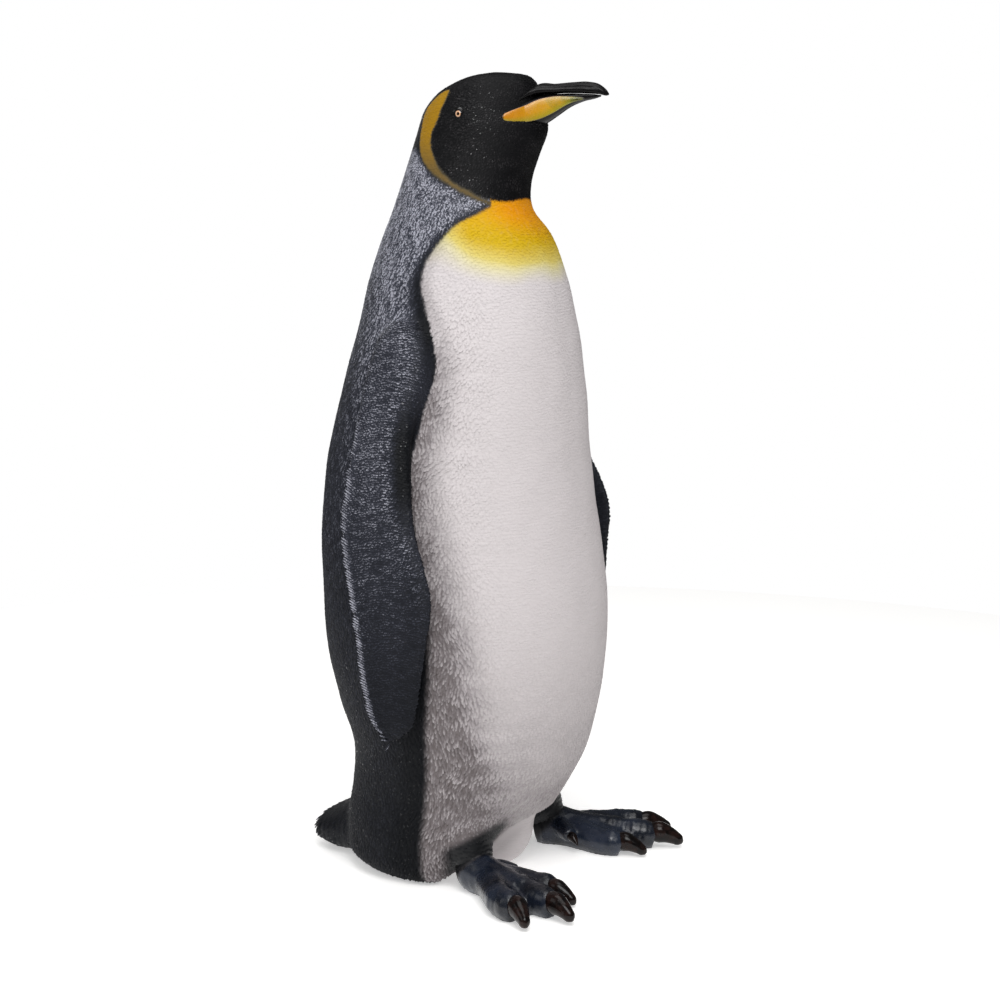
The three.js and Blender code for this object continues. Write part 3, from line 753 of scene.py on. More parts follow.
def wingLoft(side):
    rings = wingPoint(side, wingGrid["s"][:, None], wingGrid["turn"][None], -0.7)
    return closedLoft(rings, wingPoint(side, 0.0, 0.0), wingPoint(side, float(wingLength), 0.0))


def treeOf(part):
    points, faces = part
    return BVHTree.FromPolygons(points.tolist(), faces)


def distances(tree, points, reach):
    # How far each point is from a surface, up to reach.
    found = [tree.find_nearest(point, reach)[3] for point in points.tolist()]
    return np.array([reach if d is None else d for d in found])


def onWingPlace(side, points):
    # The place on a wing nearest to each point: distance down it, place across it, 1 on its outer face, and
    # how far off it is. The wing's grid is searched, and its face number gives the row and column.
    points = np.asarray(points)
    tree = wingTrees[side]
    found = [tree.find_nearest(point, 40) for point in points.tolist()]
    index = np.array([0 if hit[2] is None else hit[2] for hit in found])
    far = np.array([40 if hit[3] is None else hit[3] for hit in found])
    around = len(wingGrid["turn"])
    index = np.minimum(index, (len(wingGrid["s"]) - 1) * around - 1)
    s = wingGrid["s"][index // around]
    turn = wingGrid["turn"][index % around]
    lead, trail = wingEdges(s)
    chord = (lead + trail) / 2 + (lead - trail) / 2 * np.cos(turn)
    return s, chord, np.where(np.sin(turn) > 0, 1.0, 0.0), far


parts = {"body": bodyLoft(-body["coatDepth"]), "fold": foldLoft(), "tail": tailLoft()}
for side in sides:
    parts["wing_" + side] = wingLoft(side)
    parts["leg_" + side] = limb(legRows(side), 32, 30)
bodyTree = treeOf(parts["body"])
wingTrees = {side: treeOf(parts["wing_" + side]) for side in sides}


def outsideBody(points):
    # About how far each point lies outside the body: superellipse radius less one, times the half width.
    _, up, flat = bodyCoordinates(points)
    front, back, half, narrow = bodyAt(up)
    c = (flat[..., 0] - (front + back) / 2) / np.maximum((front - back) / 2, 1)
    across = flat[..., 1] / np.maximum(half * (1 - narrow * np.clip(c, 0, 1)), 1)
    radius = (np.abs(c) ** body["ringPower"] + np.abs(across) ** body["ringPower"]) ** (1 / body["ringPower"])
    return (radius - 1) * half


def rimTurns(side, s):
    # Round a wing's section from its rear edge forward, the first turn where its outer face clears the body.
    turns = np.linspace(np.pi, 0.5, 70)
    clear = outsideBody(wingPoint(side, s[:, None], turns[None])) > skin["rimBead"]
    return turns[np.argmax(clear, axis=1)]


def rimOf(side, chord, s):
    # Millimetres ahead of a wing's visible rear edge.
    stations = np.linspace(5, wingLength - 4, 90)
    lead, trail = wingEdges(stations)
    edge = (lead + trail) / 2 + (lead - trail) / 2 * np.cos(rimTurns(side, stations))
    return chord - np.interp(s, stations, edge)


def sculptedSkin():
    piece = remeshed(addPiece("skin", *joined(list(parts.values()))), skin["voxel"])
    mesh = piece.data
    points, edges = meshPoints(mesh), edgesOf(mesh)
    points = relaxed(points, edges, np.full(len(points), 0.5), 3)
    # Joints are rounded off where two parts' surfaces come close: shoulders, legs, tail and fold.
    toBody = distances(bodyTree, points, 40)
    joint = np.zeros(len(points))
    for name, part in parts.items():
        if name != "body":
            other = distances(treeOf(part), points, 40)
            near = 1 - smoothStep(np.maximum(other, toBody), 4, skin["jointReach"])
            if name.startswith("wing"):
                near = near * smoothStep(points[:, 2], 470, 560)
            if name == "fold":
                near = near * 0.5
            joint = np.maximum(joint, near)
    points = relaxed(points, edges, 0.5 * joint, skin["jointRounds"])
    # Soft undulation of the modelled body, deeper down the flank and beside the armpit.
    angle, up, flat = bodyCoordinates(points)
    setPoints(mesh, points)
    normals = vertexNormals(mesh)
    wings = {side: onWingPlace(side, points) for side in sides}
    nearest = np.minimum(wings["right"][3], wings["left"][3])
    onWing = (1 - smoothStep(nearest - toBody, -3, 3)) * (1 - smoothStep(nearest, 6, 14))
    flank = np.exp(-((np.abs(angle) - 72) / 16) ** 2)
    flank = flank * np.interp(up, [0, 60, 200, 420, 600, 680], [0.3, 0.9, 1, 0.6, 1, 0])
    wrinkles = waves(flat[:, 0] + 2 * np.abs(flat[:, 1]), flat[:, 2] * 0.55, 9)
    rise = skin["flankWrinkles"] * wrinkles * flank * (1 - onWing)
    rise = rise + skin["swell"] * waves(flat[:, 0] - flat[:, 1], flat[:, 2], 26) * (1 - onWing)
    for side, (s, chord, outer, far) in wings.items():
        mine = onWing * (far <= nearest + 1e-6) * outer
        back = rimOf(side, chord, s)
        bead = np.exp(-((back - 5) / 4.5) ** 2) - 0.7 * np.exp(-((back - 15) / 4) ** 2)
        ridge = np.exp(-((wingEdges(s)[0] - chord - 15) / 6) ** 2)
        bead = skin["rimBead"] * bead * smoothStep(s, 90, 170)
        raised = bead + skin["frontRidge"] * ridge * (1 - smoothStep(s, 300, 360))
        rise = rise + mine * raised
    points = points + normals * rise[:, None]
    setPoints(mesh, points)
    print("skin made,", len(points), "points")
    return piece, onWing


def footPart(side):
    solids = [limb(palmRows(side), 30, 44), limb(halluxRows(side), 20, 16)]
    solids += [limb(toeRows(side, toe), 24, 40) for toe in foot["toes"].values()]
    piece = remeshed(addPiece("foot", *joined(solids)), skin["footVoxel"])
    mesh = piece.data
    points, edges = meshPoints(mesh), edgesOf(mesh)
    points = relaxed(points, edges, np.full(len(points), 0.5), 5)
    along, out = footAxes(side, points)
    setPoints(mesh, points)
    normals = vertexNormals(mesh)
    top = smoothStep(points[:, 2], 4, 12)
    # Cross creases over the toes, knuckle swellings, and pebbled skin between them.
    crease = np.sin(2 * np.pi * along / foot["creaseSpacing"] + 1.1 * np.sin(out / 5))
    crease = crease * smoothStep(along, 62, 84) * foot["crease"]
    knuckle = sum(high * np.exp(-((along - at) / wide) ** 2) for at, wide, high in foot["knuckles"])
    (fine, fineHigh), (coarse, coarseHigh) = foot["finePebble"], foot["coarsePebble"]
    pebble = fineHigh * waves(along, out, fine) + coarseHigh * waves(along + 30, out - 12, coarse)
    points = points + normals * ((crease + knuckle + pebble) * top)[:, None]
    points[:, 2] = np.where(points[:, 2] < 1.2, 0, points[:, 2])
    setPoints(mesh, points)
    return piece


def makeSkin():
    piece, onWing = sculptedSkin()
    for side in sides:
        made = footPart(side)
        union = piece.modifiers.new("union", "BOOLEAN")
        union.operation = "UNION"
        union.solver = "MANIFOLD"
        union.object = made
        applied(piece)
        bpy.data.objects.remove(made)
    mesh = piece.data
    points = meshPoints(mesh)
    points[:, 2] = np.maximum(points[:, 2], 0)
    setPoints(mesh, points)
    mesh.shade_smooth()
    triangles = sum(len(p.vertices) - 2 for p in mesh.polygons)
    print("feet joined to the skin,", len(points), "points,", triangles, "triangles")
    return piece


skinPiece = makeSkin()


def footShare(points):
    # 1 on the bare foot, 0 on the feathered leg: below a slope that rises toward the toes.
    best = np.zeros(len(points))
    for side, sign in sides.items():
        along, out = footAxes(side, points)
        within = (np.abs(out) < 62) & (along > -24) & (points[:, 2] < 60) & (sign * points[:, 1] > 20)
        share = smoothStep(along - 0.9 * (points[:, 2] - 30), 4, 16)
        best = np.maximum(best, np.where(within, share, 0))
    return best


def skinShares(points):
    toBody = distances(bodyTree, points, 40)
    wings = {side: onWingPlace(side, points) for side in sides}
    right = wings["right"][3] <= wings["left"][3]
    nearest = np.where(right, wings["right"][3], wings["left"][3])
    place = [np.where(right, wings["right"][k], wings["left"][k]) for k in range(3)]
    onWing = (1 - smoothStep(nearest - toBody, -6, 6)) * (1 - smoothStep(nearest, 8, 16))
    onWing = onWing * (1 - smoothStep(points[:, 2], 500, 640))
    return onWing, place


paintColours = {
    "bellyLight": "#c5bfc0", "bellyShade": "#7d7779", "bellyDeep": "#5d5554",
    "bibYellow": "#bf9e08", "bibPale": "#cfc67c", "bibOrange": "#d58a00",
    "slateDark": "#090b0f", "slateMiddle": "#3a3c46", "slateLight": "#9fa0ab",
    "hood": "#09090b", "hoodRubbed": "#3b393b",
    "patch": "#967012", "patchDull": "#4c4432",
    "foot": "#0d1018", "footLight": "#222937",
}


def newPaint(name):
    # A material with its node tree, its shader, and the place on the object that its patterns read.
    made = bpy.data.materials.new(name)
    made.use_nodes = True
    tree = made.node_tree
    where = node(tree, "ShaderNodeTexCoord").outputs["Object"]
    return made, tree, tree.nodes["Principled BSDF"], where


def tripleOf(tree, name):
    # The three numbers that the pieces carry under one name.
    read = node(tree, "ShaderNodeAttribute", attribute_name=name)
    return node(tree, "ShaderNodeSeparateXYZ", {0: read.outputs["Vector"]}).outputs


def grain(tree, where, size, detail=2.0):
    # Noise whose grains are this many millimetres across.
    settings = {"Vector": where, "Scale": 1 / (size * mm), "Detail": detail}
    return node(tree, "ShaderNodeTexNoise", settings).outputs[0]


def mixed(tree, share, first, second):
    made = node(tree, "ShaderNodeMix", {0: share, 6: first, 7: second}, data_type="RGBA")
    return made.outputs[2]


def ranged(tree, value, low, high, toLow=0.0, toHigh=1.0):
    settings = {"Value": value, "From Min": low, "From Max": high, "To Min": toLow, "To Max": toHigh}
    return node(tree, "ShaderNodeMapRange", settings).outputs[0]


def computed(tree, operation, first, second=0.0):
    return node(tree, "ShaderNodeMath", {0: first, 1: second}, operation=operation).outputs[0]


def bumped(tree, shader, height, strength, depth):
    made = node(tree, "ShaderNodeBump", {"Height": height, "Strength": strength, "Distance": depth * mm})
    tree.links.new(made.outputs[0], shader.inputs["Normal"])


def statuePaint(name, grainDepth):
    # Matt acrylic sprayed and dry-brushed over cast polyresin: raised tips catch the lighter coat, hollows
    # keep the darker wash with its painted shade, and a satin varnish leaves a few bright specks. The feet
    # wear a gloss coat.
    made, tree, shader, where = newPaint(name)
    white, bib, orange = tripleOf(tree, "paintFront")
    hood, patch, slate = tripleOf(tree, "paintBack")
    # the wash carries painted shade beside the wings and low on the belly
    washAndShade, gloss, crest = tripleOf(tree, "paintFinishAndShade")
    colour = {key: linear(value) for key, value in paintColours.items()}

    fine = grain(tree, where, 1.1)
    coarse = grain(tree, where, 4.5)
    cloud = grain(tree, where, 38)
    # Dry brush: how much light paint the raised places took, broken up by both grains.
    brushed = computed(tree, "MULTIPLY", crest, ranged(tree, fine, 0.36, 0.66, 0.25, 1.25))
    hollow = computed(tree, "SUBTRACT", 1.0, crest)

    # Belly: light coat, with the wash and its painted shade deeper in the hollows.
    hollowWashAndShade = computed(tree, "MULTIPLY", washAndShade, ranged(tree, hollow, 0.0, 1.0, 0.42, 1.32))
    hollowWashAndShade = computed(tree, "MULTIPLY", hollowWashAndShade, ranged(tree, coarse, 0.3, 0.7, 0.85, 1.12))
    belly = mixed(tree, ranged(tree, hollowWashAndShade, 0.0, 0.9), colour["bellyLight"], colour["bellyShade"])
    belly = mixed(tree, ranged(tree, hollowWashAndShade, 0.62, 1.3, 0.0, 0.8), belly, colour["bellyDeep"])
    bibColour = mixed(tree, ranged(tree, bib, 0.30, 1.0), colour["bibPale"], colour["bibYellow"])
    bibColour = mixed(tree, orange, bibColour, colour["bibOrange"])
    bibShare = ranged(tree, bib, 0.0, 0.55)
    bibShare = computed(tree, "MULTIPLY", bibShare, ranged(tree, coarse, 0.25, 0.5, 0.95, 1.0))
    front = mixed(tree, bibShare, belly, bibColour)

    # Back: black through slate to blue-grey, by tone and by how well a tip was brushed.
    tone = computed(tree, "MULTIPLY", slate, ranged(tree, brushed, 0.15, 0.85, 0.30, 1.75))
    tone = computed(tree, "MULTIPLY", tone, ranged(tree, cloud, 0.3, 0.7, 0.88, 1.12))
    back = mixed(tree, ranged(tree, tone, 0.0, 0.45), colour["slateDark"], colour["slateMiddle"])
    back = mixed(tree, ranged(tree, tone, 0.40, 1.0), back, colour["slateLight"])

    rubbed = ranged(tree, brushed, 0.35, 1.1, 0.0, 0.75)
    hoodColour = mixed(tree, rubbed, colour["hood"], colour["hoodRubbed"])
    patchColour = mixed(tree, ranged(tree, patch, 0.3, 1.0), colour["patchDull"], colour["patch"])
    footColour = mixed(tree, ranged(tree, cloud, 0.35, 0.7), colour["foot"], colour["footLight"])

    paint = mixed(tree, white, back, front)
    paint = mixed(tree, hood, paint, hoodColour)
    paint = mixed(tree, ranged(tree, patch, 0.0, 0.35), paint, patchColour)
    paint = mixed(tree, ranged(tree, gloss, 0.62, 0.95), paint, footColour)
    tree.links.new(paint, shader.inputs["Base Color"])

    # Specks of pooled varnish, a millimetre or two across, brighten the dark paint.
    specks = ranged(tree, grain(tree, where, 2.2, 0.0), 0.755, 0.785)
    dark = computed(tree, "SUBTRACT", 1.0, white)
    pooled = computed(tree, "MULTIPLY", specks, dark)
    rough = ranged(tree, pooled, 0.0, 1.0, 0.56, 0.16)
    glossy = ranged(tree, gloss, 0.3, 1.0, 0.0, 1.0)
    wet = ranged(tree, coarse, 0.3, 0.7, 0.16, 0.30)
    rough = node(tree, "ShaderNodeMix", {0: glossy, 2: rough, 3: wet}).outputs[0]
    tree.links.new(rough, shader.inputs["Roughness"])
    shader.inputs["IOR"].default_value = 1.48
    # Pores in matt paint swallow part of the gleam.
    sheen = ranged(tree, computed(tree, "MAXIMUM", glossy, pooled), 0.0, 1.0, 0.14, 0.5)
    tree.links.new(sheen, shader.inputs["Specular IOR Level"])

    # Bowed level lines, this far apart, ripple the white front. At scale 1 they would repeat each 2 pi / 20.
    spacing = 3.4 * mm
    ripples = node(tree, "ShaderNodeTexWave", {
        "Vector": where, "Scale": 2 * np.pi / (20 * spacing), "Distortion": 9.0,
        "Detail": 1.0, "Detail Scale": 0.35}, bands_direction="Z").outputs[1]
    ripples = computed(tree, "MULTIPLY", ripples, white)
    height = computed(tree, "ADD", fine, computed(tree, "MULTIPLY", coarse, 0.8))
    height = computed(tree, "ADD", height, computed(tree, "MULTIPLY", ripples, 1.1))
    bumped(tree, shader, height, 0.55, grainDepth)
    return made


skinPaint = statuePaint("mattAcrylicOnPolyresinSkin", 0.35)
coatPaint = statuePaint("mattAcrylicOnPolyresinFeathers", 0.30)


def enamel(name, dark, light, patches, roughness, gleam, bumpSize, bumpDepth):
    # Gloss enamel brushed over resin: a wet-looking skin with slow ripples and a trace of the colour beneath.
    made, tree, shader, where = newPaint(name)
    shade = ranged(tree, grain(tree, where, patches), 0.38, 0.68)
    tree.links.new(mixed(tree, shade, linear(dark), linear(light)), shader.inputs["Base Color"])
    wear = ranged(tree, grain(tree, where, patches / 4), 0.3, 0.7, roughness * 0.75, roughness * 1.4)
    tree.links.new(wear, shader.inputs["Roughness"])
    shader.inputs["IOR"].default_value = 1.5
    shader.inputs["Specular IOR Level"].default_value = gleam
    bumped(tree, shader, grain(tree, where, bumpSize), 0.5, bumpDepth)
    return made


billPaint = enamel("blackGlossEnamelOnBill", "#060607", "#121112", 14, 0.24, 0.12, 5, 0.25)
clawPaint = enamel("brownBlackGlossEnamelOnClaws", "#0b0808", "#231613", 9, 0.16, 0.22, 4, 0.3)


def plateEnamel():
    # Translucent orange enamel, yellow along the plate and green at its tip, sprayed from end to end.
    made, tree, shader, where = newPaint("orangeGlossEnamelOnBillPlate")
    along, height, edge = tripleOf(tree, "paintFront")
    blur = ranged(tree, grain(tree, where, 9), 0.3, 0.7, -0.10, 0.10)
    along = computed(tree, "ADD", along, blur)
    paint = mixed(tree, ranged(tree, along, 0.10, 0.52), linear("#b3740a"), linear("#b48606"))
    paint = mixed(tree, ranged(tree, along, 0.50, 0.86), paint, linear("#6b6a12"))
    paint = mixed(tree, ranged(tree, height, 0.42, 0.10, 0.0, 0.7), paint, linear("#86841f"))
    paint = mixed(tree, ranged(tree, along, 0.84, 1.02), paint, linear("#16170c"))
    paint = mixed(tree, ranged(tree, edge, 0.55, 1.0, 0.0, 0.85), paint, linear("#1a150d"))
    gape = ranged(tree, height, 0.955, 0.985, 0.0, 0.8)  # the pale edge of the mouth
    paint = mixed(tree, gape, paint, linear("#7d5d55"))
    tree.links.new(paint, shader.inputs["Base Color"])
    tree.links.new(ranged(tree, grain(tree, where, 4), 0.3, 0.7, 0.20, 0.34), shader.inputs["Roughness"])
    shader.inputs["IOR"].default_value = 1.5
    bumped(tree, shader, grain(tree, where, 3), 0.3, 0.15)
    return made


def eyeEnamel():
    # Painted eye under clear gloss: black lids' edge, peach iris, dark oval pupil.
    made, tree, shader, where = newPaint("paintedEyeUnderClearGloss")
    radius = tripleOf(tree, "paintFront")[0]
    radius = computed(tree, "ADD", radius, ranged(tree, grain(tree, where, 1.2), 0.3, 0.7, -0.12, 0.12))
    iris = mixed(tree, ranged(tree, radius, 1.9, 2.5), linear("#8a5c3c"), linear("#cfa986"))
    iris = mixed(tree, ranged(tree, radius, 3.0, 3.5), iris, linear("#5a2f22"))
    paint = mixed(tree, ranged(tree, radius, 1.55, 1.85), linear("#070606"), iris)
    paint = mixed(tree, ranged(tree, radius, 3.5, 4.0), paint, linear("#0c0b0c"))
    tree.links.new(paint, shader.inputs["Base Color"])
    shader.inputs["Roughness"].default_value = 0.08
    shader.inputs["IOR"].default_value = 1.5
    return made


# Every feather tip of the sculpted relief is a small closed vane.
coat = {
    "sink": 0.7,  # how deep a vane's root and underside lie in the skin
    # along, across, share of lift, share of sink, and how much brushed paint the point catches
    "feather": [[0, 0, 0, 1, 0], [0.42, -0.5, 0.12, 0.2, 0.15], [0.42, 0.5, 0.12, 0.2, 0.15],
                [0.5, 0, 0.8, 0, 0.7], [0.82, -0.36, 0.55, 0.1, 0.6], [0.82, 0.36, 0.55, 0.1, 0.6],
                [1, 0, 1, 0, 1], [0.8, 0, 0, 1, 0]],
    "scale": [[0, 0, 0, 1, 0], [0.4, -0.5, 0.35, 0.1, 0.1], [0.4, 0.5, 0.35, 0.1, 0.1],
              [0.5, 0, 0.5, 0, 0.3], [0.88, -0.44, 0.95, 0, 0.8], [0.88, 0.44, 0.95, 0, 0.8],
              [1, 0, 1, 0, 1], [0.8, 0, 0, 1, 0]],
    "faces": [[0, 1, 3], [0, 3, 2], [1, 4, 3], [4, 6, 3], [3, 6, 5], [3, 5, 2],
              [0, 7, 1], [1, 7, 4], [4, 7, 6], [6, 7, 5], [5, 7, 2], [2, 7, 0]],
    "patch": 0.003,  # how wide each vane's patch is on the piece's paint map
}


def settled(roots, reach=5.0):
    # Moves roots on to the skin, and gives each the smooth normal there. Roots with no skin near are dropped.
    found = [skinTree.find_nearest(point, reach) for point in roots.tolist()]
    kept = np.array([hit[0] is not None for hit in found])
    spots = np.array([tuple(hit[0]) for hit in found if hit[0] is not None]).reshape(-1, 3)
    index = np.array([hit[2] for hit in found if hit[0] is not None], int)
    return kept, spots, skinFaceNormals[index]


def vaneMesh(name, roots, normals, lie, size, shape, maps, shares, gain, tone=None):
    # Closed vanes, one for each root. A point is root + lie x length + side x width + normal x height.
    # size holds each vane's length, width and lift. Each corner takes the marking at its own place.
    plan = np.array(coat[shape], float)
    lie = unit(lie - (lie * normals).sum(-1, keepdims=True) * normals)
    side = np.cross(normals, lie)
    length, width, lift = [size[:, k][:, None, None] for k in range(3)]
    points = (roots[:, None] + lie[:, None] * plan[None, :, 0:1] * length
              + side[:, None] * plan[None, :, 1:2] * width
              + normals[:, None] * (plan[None, :, 2:3] * lift - plan[None, :, 3:4] * coat["sink"]))
    count, corners = len(roots), len(plan)
    # The bird's axes are left-handed, so faces are listed backward to face out once placed.
    faces = np.array(coat["faces"])[None, :, ::-1] + corners * np.arange(count)[:, None, None]
    faces = faces.reshape(-1, 3)
    mesh = bpy.data.meshes.new(name)
    points = points.reshape(-1, 3)
    points[:, 2] = np.maximum(points[:, 2], 0.05)
    mesh.vertices.add(len(points))
    mesh.vertices.foreach_set("co", toRow(points).astype(np.float32).ravel())
    mesh.loops.add(faces.size)
    mesh.loops.foreach_set("vertex_index", faces.astype(np.int32).ravel())
    mesh.polygons.add(len(faces))
    mesh.polygons.foreach_set("loop_start", np.arange(0, faces.size, 3, dtype=np.int32))
    mesh.update(calc_edges=True)
    mesh.validate()
    mesh.shade_smooth()
    # The rim between a vane's top and its underside is sharp; corners 3 and 7 are the middles of the two.
    rim = np.isin(edgesOf(mesh) % corners, (3, 7), invert=True).all(axis=1)
    mesh.attributes.new("sharp_edge", "BOOLEAN", "EDGE").data.foreach_set("value", rim)
    uvs = maps[:, None] + plan[None, :, :2] * coat["patch"]
    layer = mesh.uv_layers.new(name="OFBake")
    layer.data.foreach_set("uv", uvs.reshape(-1, 2)[faces.ravel()].astype(np.float32).ravel())
    onWing, onFoot, place = [np.repeat(share, corners, axis=-1) for share in shares]
    front, back, finishAndShade = markings(points, onWing, onFoot, place)
    finishAndShade[:, 2] = (plan[None, :, 4] * gain[:, None]).ravel()
    if tone is not None:
        back[:, 2] = np.repeat(tone, corners)
    setPaints(mesh, front, back, finishAndShade)
    mesh.materials.append(coatPaint)
    piece = bpy.data.objects.new(name, mesh)
    bpy.context.scene.collection.objects.link(piece)
    print(name, "made,", count, "vanes,", len(faces), "triangles")
    return piece


skinTree = treeOf((meshPoints(skinPiece.data), [list(p.vertices) for p in skinPiece.data.polygons]))


def faceNormals(mesh):
    # Each face's normal, as the mean of its corners' smooth ones.
    corner = vertexNormals(mesh)
    vertices = np.zeros(len(mesh.loops), np.int32)
    mesh.loops.foreach_get("vertex_index", vertices)
    starts = np.zeros(len(mesh.polygons), np.int32)
    mesh.polygons.foreach_get("loop_start", starts)
    return unit(np.add.reduceat(corner[vertices], starts, axis=0))


skinFaceNormals = faceNormals(skinPiece.data)
print("skin searched and ready")


def paintSkin():
    points = meshPoints(skinPiece.data)
    onWing, place = skinShares(points)
    onFoot = footShare(points)
    front, back, finishAndShade = markings(points, onWing, onFoot, place)
    rough = 0.5 + 0.5 * waves(points[:, 0] + 2 * points[:, 1], points[:, 2], 1.7)
    finishAndShade[:, 2] = 0.12 + 0.3 * rough
    setPaints(skinPiece.data, front, back, finishAndShade)
    skinPiece.data.materials.clear()
    skinPiece.data.materials.append(skinPaint)
    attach(skinPiece, "root")
    flesh = ["head", "neck", "trunk", "tail"]
    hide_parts(*flesh, *[part + side for part in ("wing_", "leg_", "foot_") for side in sides])
    print("skin painted")


paintSkin()


bodyCoat = {
    # Spacing of the feather tips at each height, and how high they stand.
    "pitch": [[0, 4.6], [60, 4.5], [640, 4.2], [740, 3.6], [800, 3.0], [860, 2.7]],
    "lift": [[0, 0.75], [200, 0.55], [640, 0.5], [760, 0.6], [830, 0.34]],
    "rowStep": 0.86,  # rows lie this share of the spacing apart
    "length": 1.65, "flankLength": 0.75, "flankLift": 2.5,  # longer and deeper down the flank
}


def byHeight(rows, up):
    heights, values = np.array(rows, float).T
    return np.interp(up, heights, values)


def bodyRoots():
    # Staggered roots over the body: rows up the outline, closer together on the neck and closest on the head.
    run, rows = bodyRun[2], []
    while run < bodyRun[-2]:
        up = bodyRow(run)[0]
        pitch = float(byHeight(bodyCoat["pitch"], up))
        ring = bodyPoint(np.linspace(0, 2 * np.pi, 91), run)
        perimeter = np.linalg.norm(np.diff(ring, axis=0), axis=1).sum()
        count = max(3, int(perimeter / pitch))
        angle = (np.arange(count) + 0.5 * (len(rows) % 2)) * 2 * np.pi / count
        angle = angle + chance.uniform(-0.28, 0.28, count) * 2 * np.pi / count
        jitter = chance.uniform(-0.28, 0.28, count) * pitch
        rows.append(np.stack([angle, run + jitter, np.full(count, pitch)], -1))
        run += pitch * bodyCoat["rowStep"]
    return np.vstack(rows)


def makeBodyCoat():
    grid = bodyRoots()
    angle, run, pitch = grid.T
    run = np.clip(run, bodyRun[1], bodyRun[-2])
    roots = bodyPoint(angle, run)
    kept, spots, normals = settled(roots)
    angle, run, pitch = angle[kept], run[kept], pitch[kept]
    up = bodyRow(run)[0]
    degrees = np.abs((np.degrees(angle) + 180) % 360 - 180)
    sideSign = np.where(np.sin(angle) >= 0, 1.0, -1.0)
    # Lie: down the body; back and down on the head. It wavers more along the flank.
    down = bodyPoint(angle, run - 2) - bodyPoint(angle, run)
    backward = np.stack([-np.cos(headAngle) + 0 * up, np.sin(headAngle) + 0 * up, 0 * up], -1)
    lie = unit(down) + 1.6 * smoothStep(up, 805, 880)[:, None] * backward
    lie = unit(lie - (lie * normals).sum(-1, keepdims=True) * normals)
    flank = np.exp(-((degrees - 72) / 20) ** 2)
    swing = 0.32 * waves(spots[:, 0] * sideSign + spots[:, 1], spots[:, 2], 20) * (0.5 + flank)
    swing = swing + chance.normal(0, 0.14, len(up)) + 0.22 * sideSign * smoothStep(up, 300, 620)
    lie = lie * np.cos(swing)[:, None] + np.cross(normals, lie) * np.sin(swing)[:, None]
    # Size: fine on the head and breast, long and deep along the flank.
    onFront = 1 - smoothStep(degrees, 76, 92)
    deep = flank * np.interp(up, [0, 100, 300, 420, 560, 640, 700], [1, 1, 0.85, 0.5, 0.9, 0.7, 0.1])
    lift = byHeight(bodyCoat["lift"], up)
    middle = onFront * (1 - smoothStep(degrees, 44, 68))
    middle = middle * smoothStep(up, 90, 260) * (1 - smoothStep(up, 745, 775))
    lift = (lift - 0.16 * onFront) * (1.35 - 0.5 * middle) * (1 + bodyCoat["flankLift"] * deep)
    lift = lift * chance.uniform(0.75, 1.25, len(up))
    length = pitch * (bodyCoat["length"] + bodyCoat["flankLength"] * deep)
    length = length * chance.uniform(0.85, 1.15, len(up))
    length = length * (0.55 + 0.45 * smoothStep(up, 8, 45))
    width = pitch * (1.0 - 0.12 * deep) * chance.uniform(0.85, 1.1, len(up))
    size = np.stack([length, width, lift], -1)
    onWing, place = skinShares(spots)
    onFoot = footShare(spots)
    place = np.array(place)
    gain = 0.74 + 0.34 * waves(spots[:, 0] + spots[:, 1] * sideSign, spots[:, 2], 7)
    gain = gain + chance.normal(0, 0.10, len(up))
    maps = np.stack([0.01 + 0.97 * (angle / (2 * np.pi) % 1), 0.01 + 0.97 * run / bodyRun[-1]], -1)
    # No vanes on the wings, the feet, the smooth fold and the eyes.
    fold = np.array(body["fold"]["centre"], float)
    bare = np.linalg.norm((spots - fold) / (np.array(body["fold"]["half"]) + 2), axis=1) < 1.08
    bare |= (onFoot > 0.35) | (onWing > 0.6)
    for sign in sides.values():
        eyeAt = [*turned(head["eyeForward"], sign * head["eyeSide"], 1), head["eyeUp"]]
        bare |= np.linalg.norm(spots - eyeAt, axis=1) < head["eyeBare"]
    bare |= (spots[:, 2] < 3)
    regions = {
        "coatHead": ("hood_paint", up > 772),
        "coatNeck": ("neck_paint", (up <= 772) & (up > 600) & (degrees > 84)),
        "coatBreast": ("belly_paint", (up <= 772) & (up > 400) & (degrees <= 84)),
        "coatBelly": ("belly_paint", (up <= 400) & (degrees <= 84)),
        "coatBackRight": ("back_paint", (up <= 600) & (degrees > 84) & (sideSign > 0)),
        "coatBackLeft": ("back_paint", (up <= 600) & (degrees > 84) & (sideSign < 0)),
    }
    for name, (slot, chosen) in regions.items():
        take = chosen & ~bare
        shares = (onWing[take], onFoot[take], place[:, take])
        piece = vaneMesh(name, spots[take], normals[take], lie[take], size[take], "feather", maps[take],
                         shares, gain[take])
        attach(piece, "root")


makeBodyCoat()


wingCoat = {
    "rowStep": 2.8, "across": 3.5, "length": 4.0, "width": 4.0, "lift": 0.58, "ridgeLift": 0.4,
    # The rear rim's ridges start this far ahead of the edge. The wing held out has a thin flat rear edge.
    "rimStep": 3.1, "rimStart": 13, "rimLength": 14, "rimWidth": 2.7, "rimLift": {"right": 2.0, "left": 0.7},
}


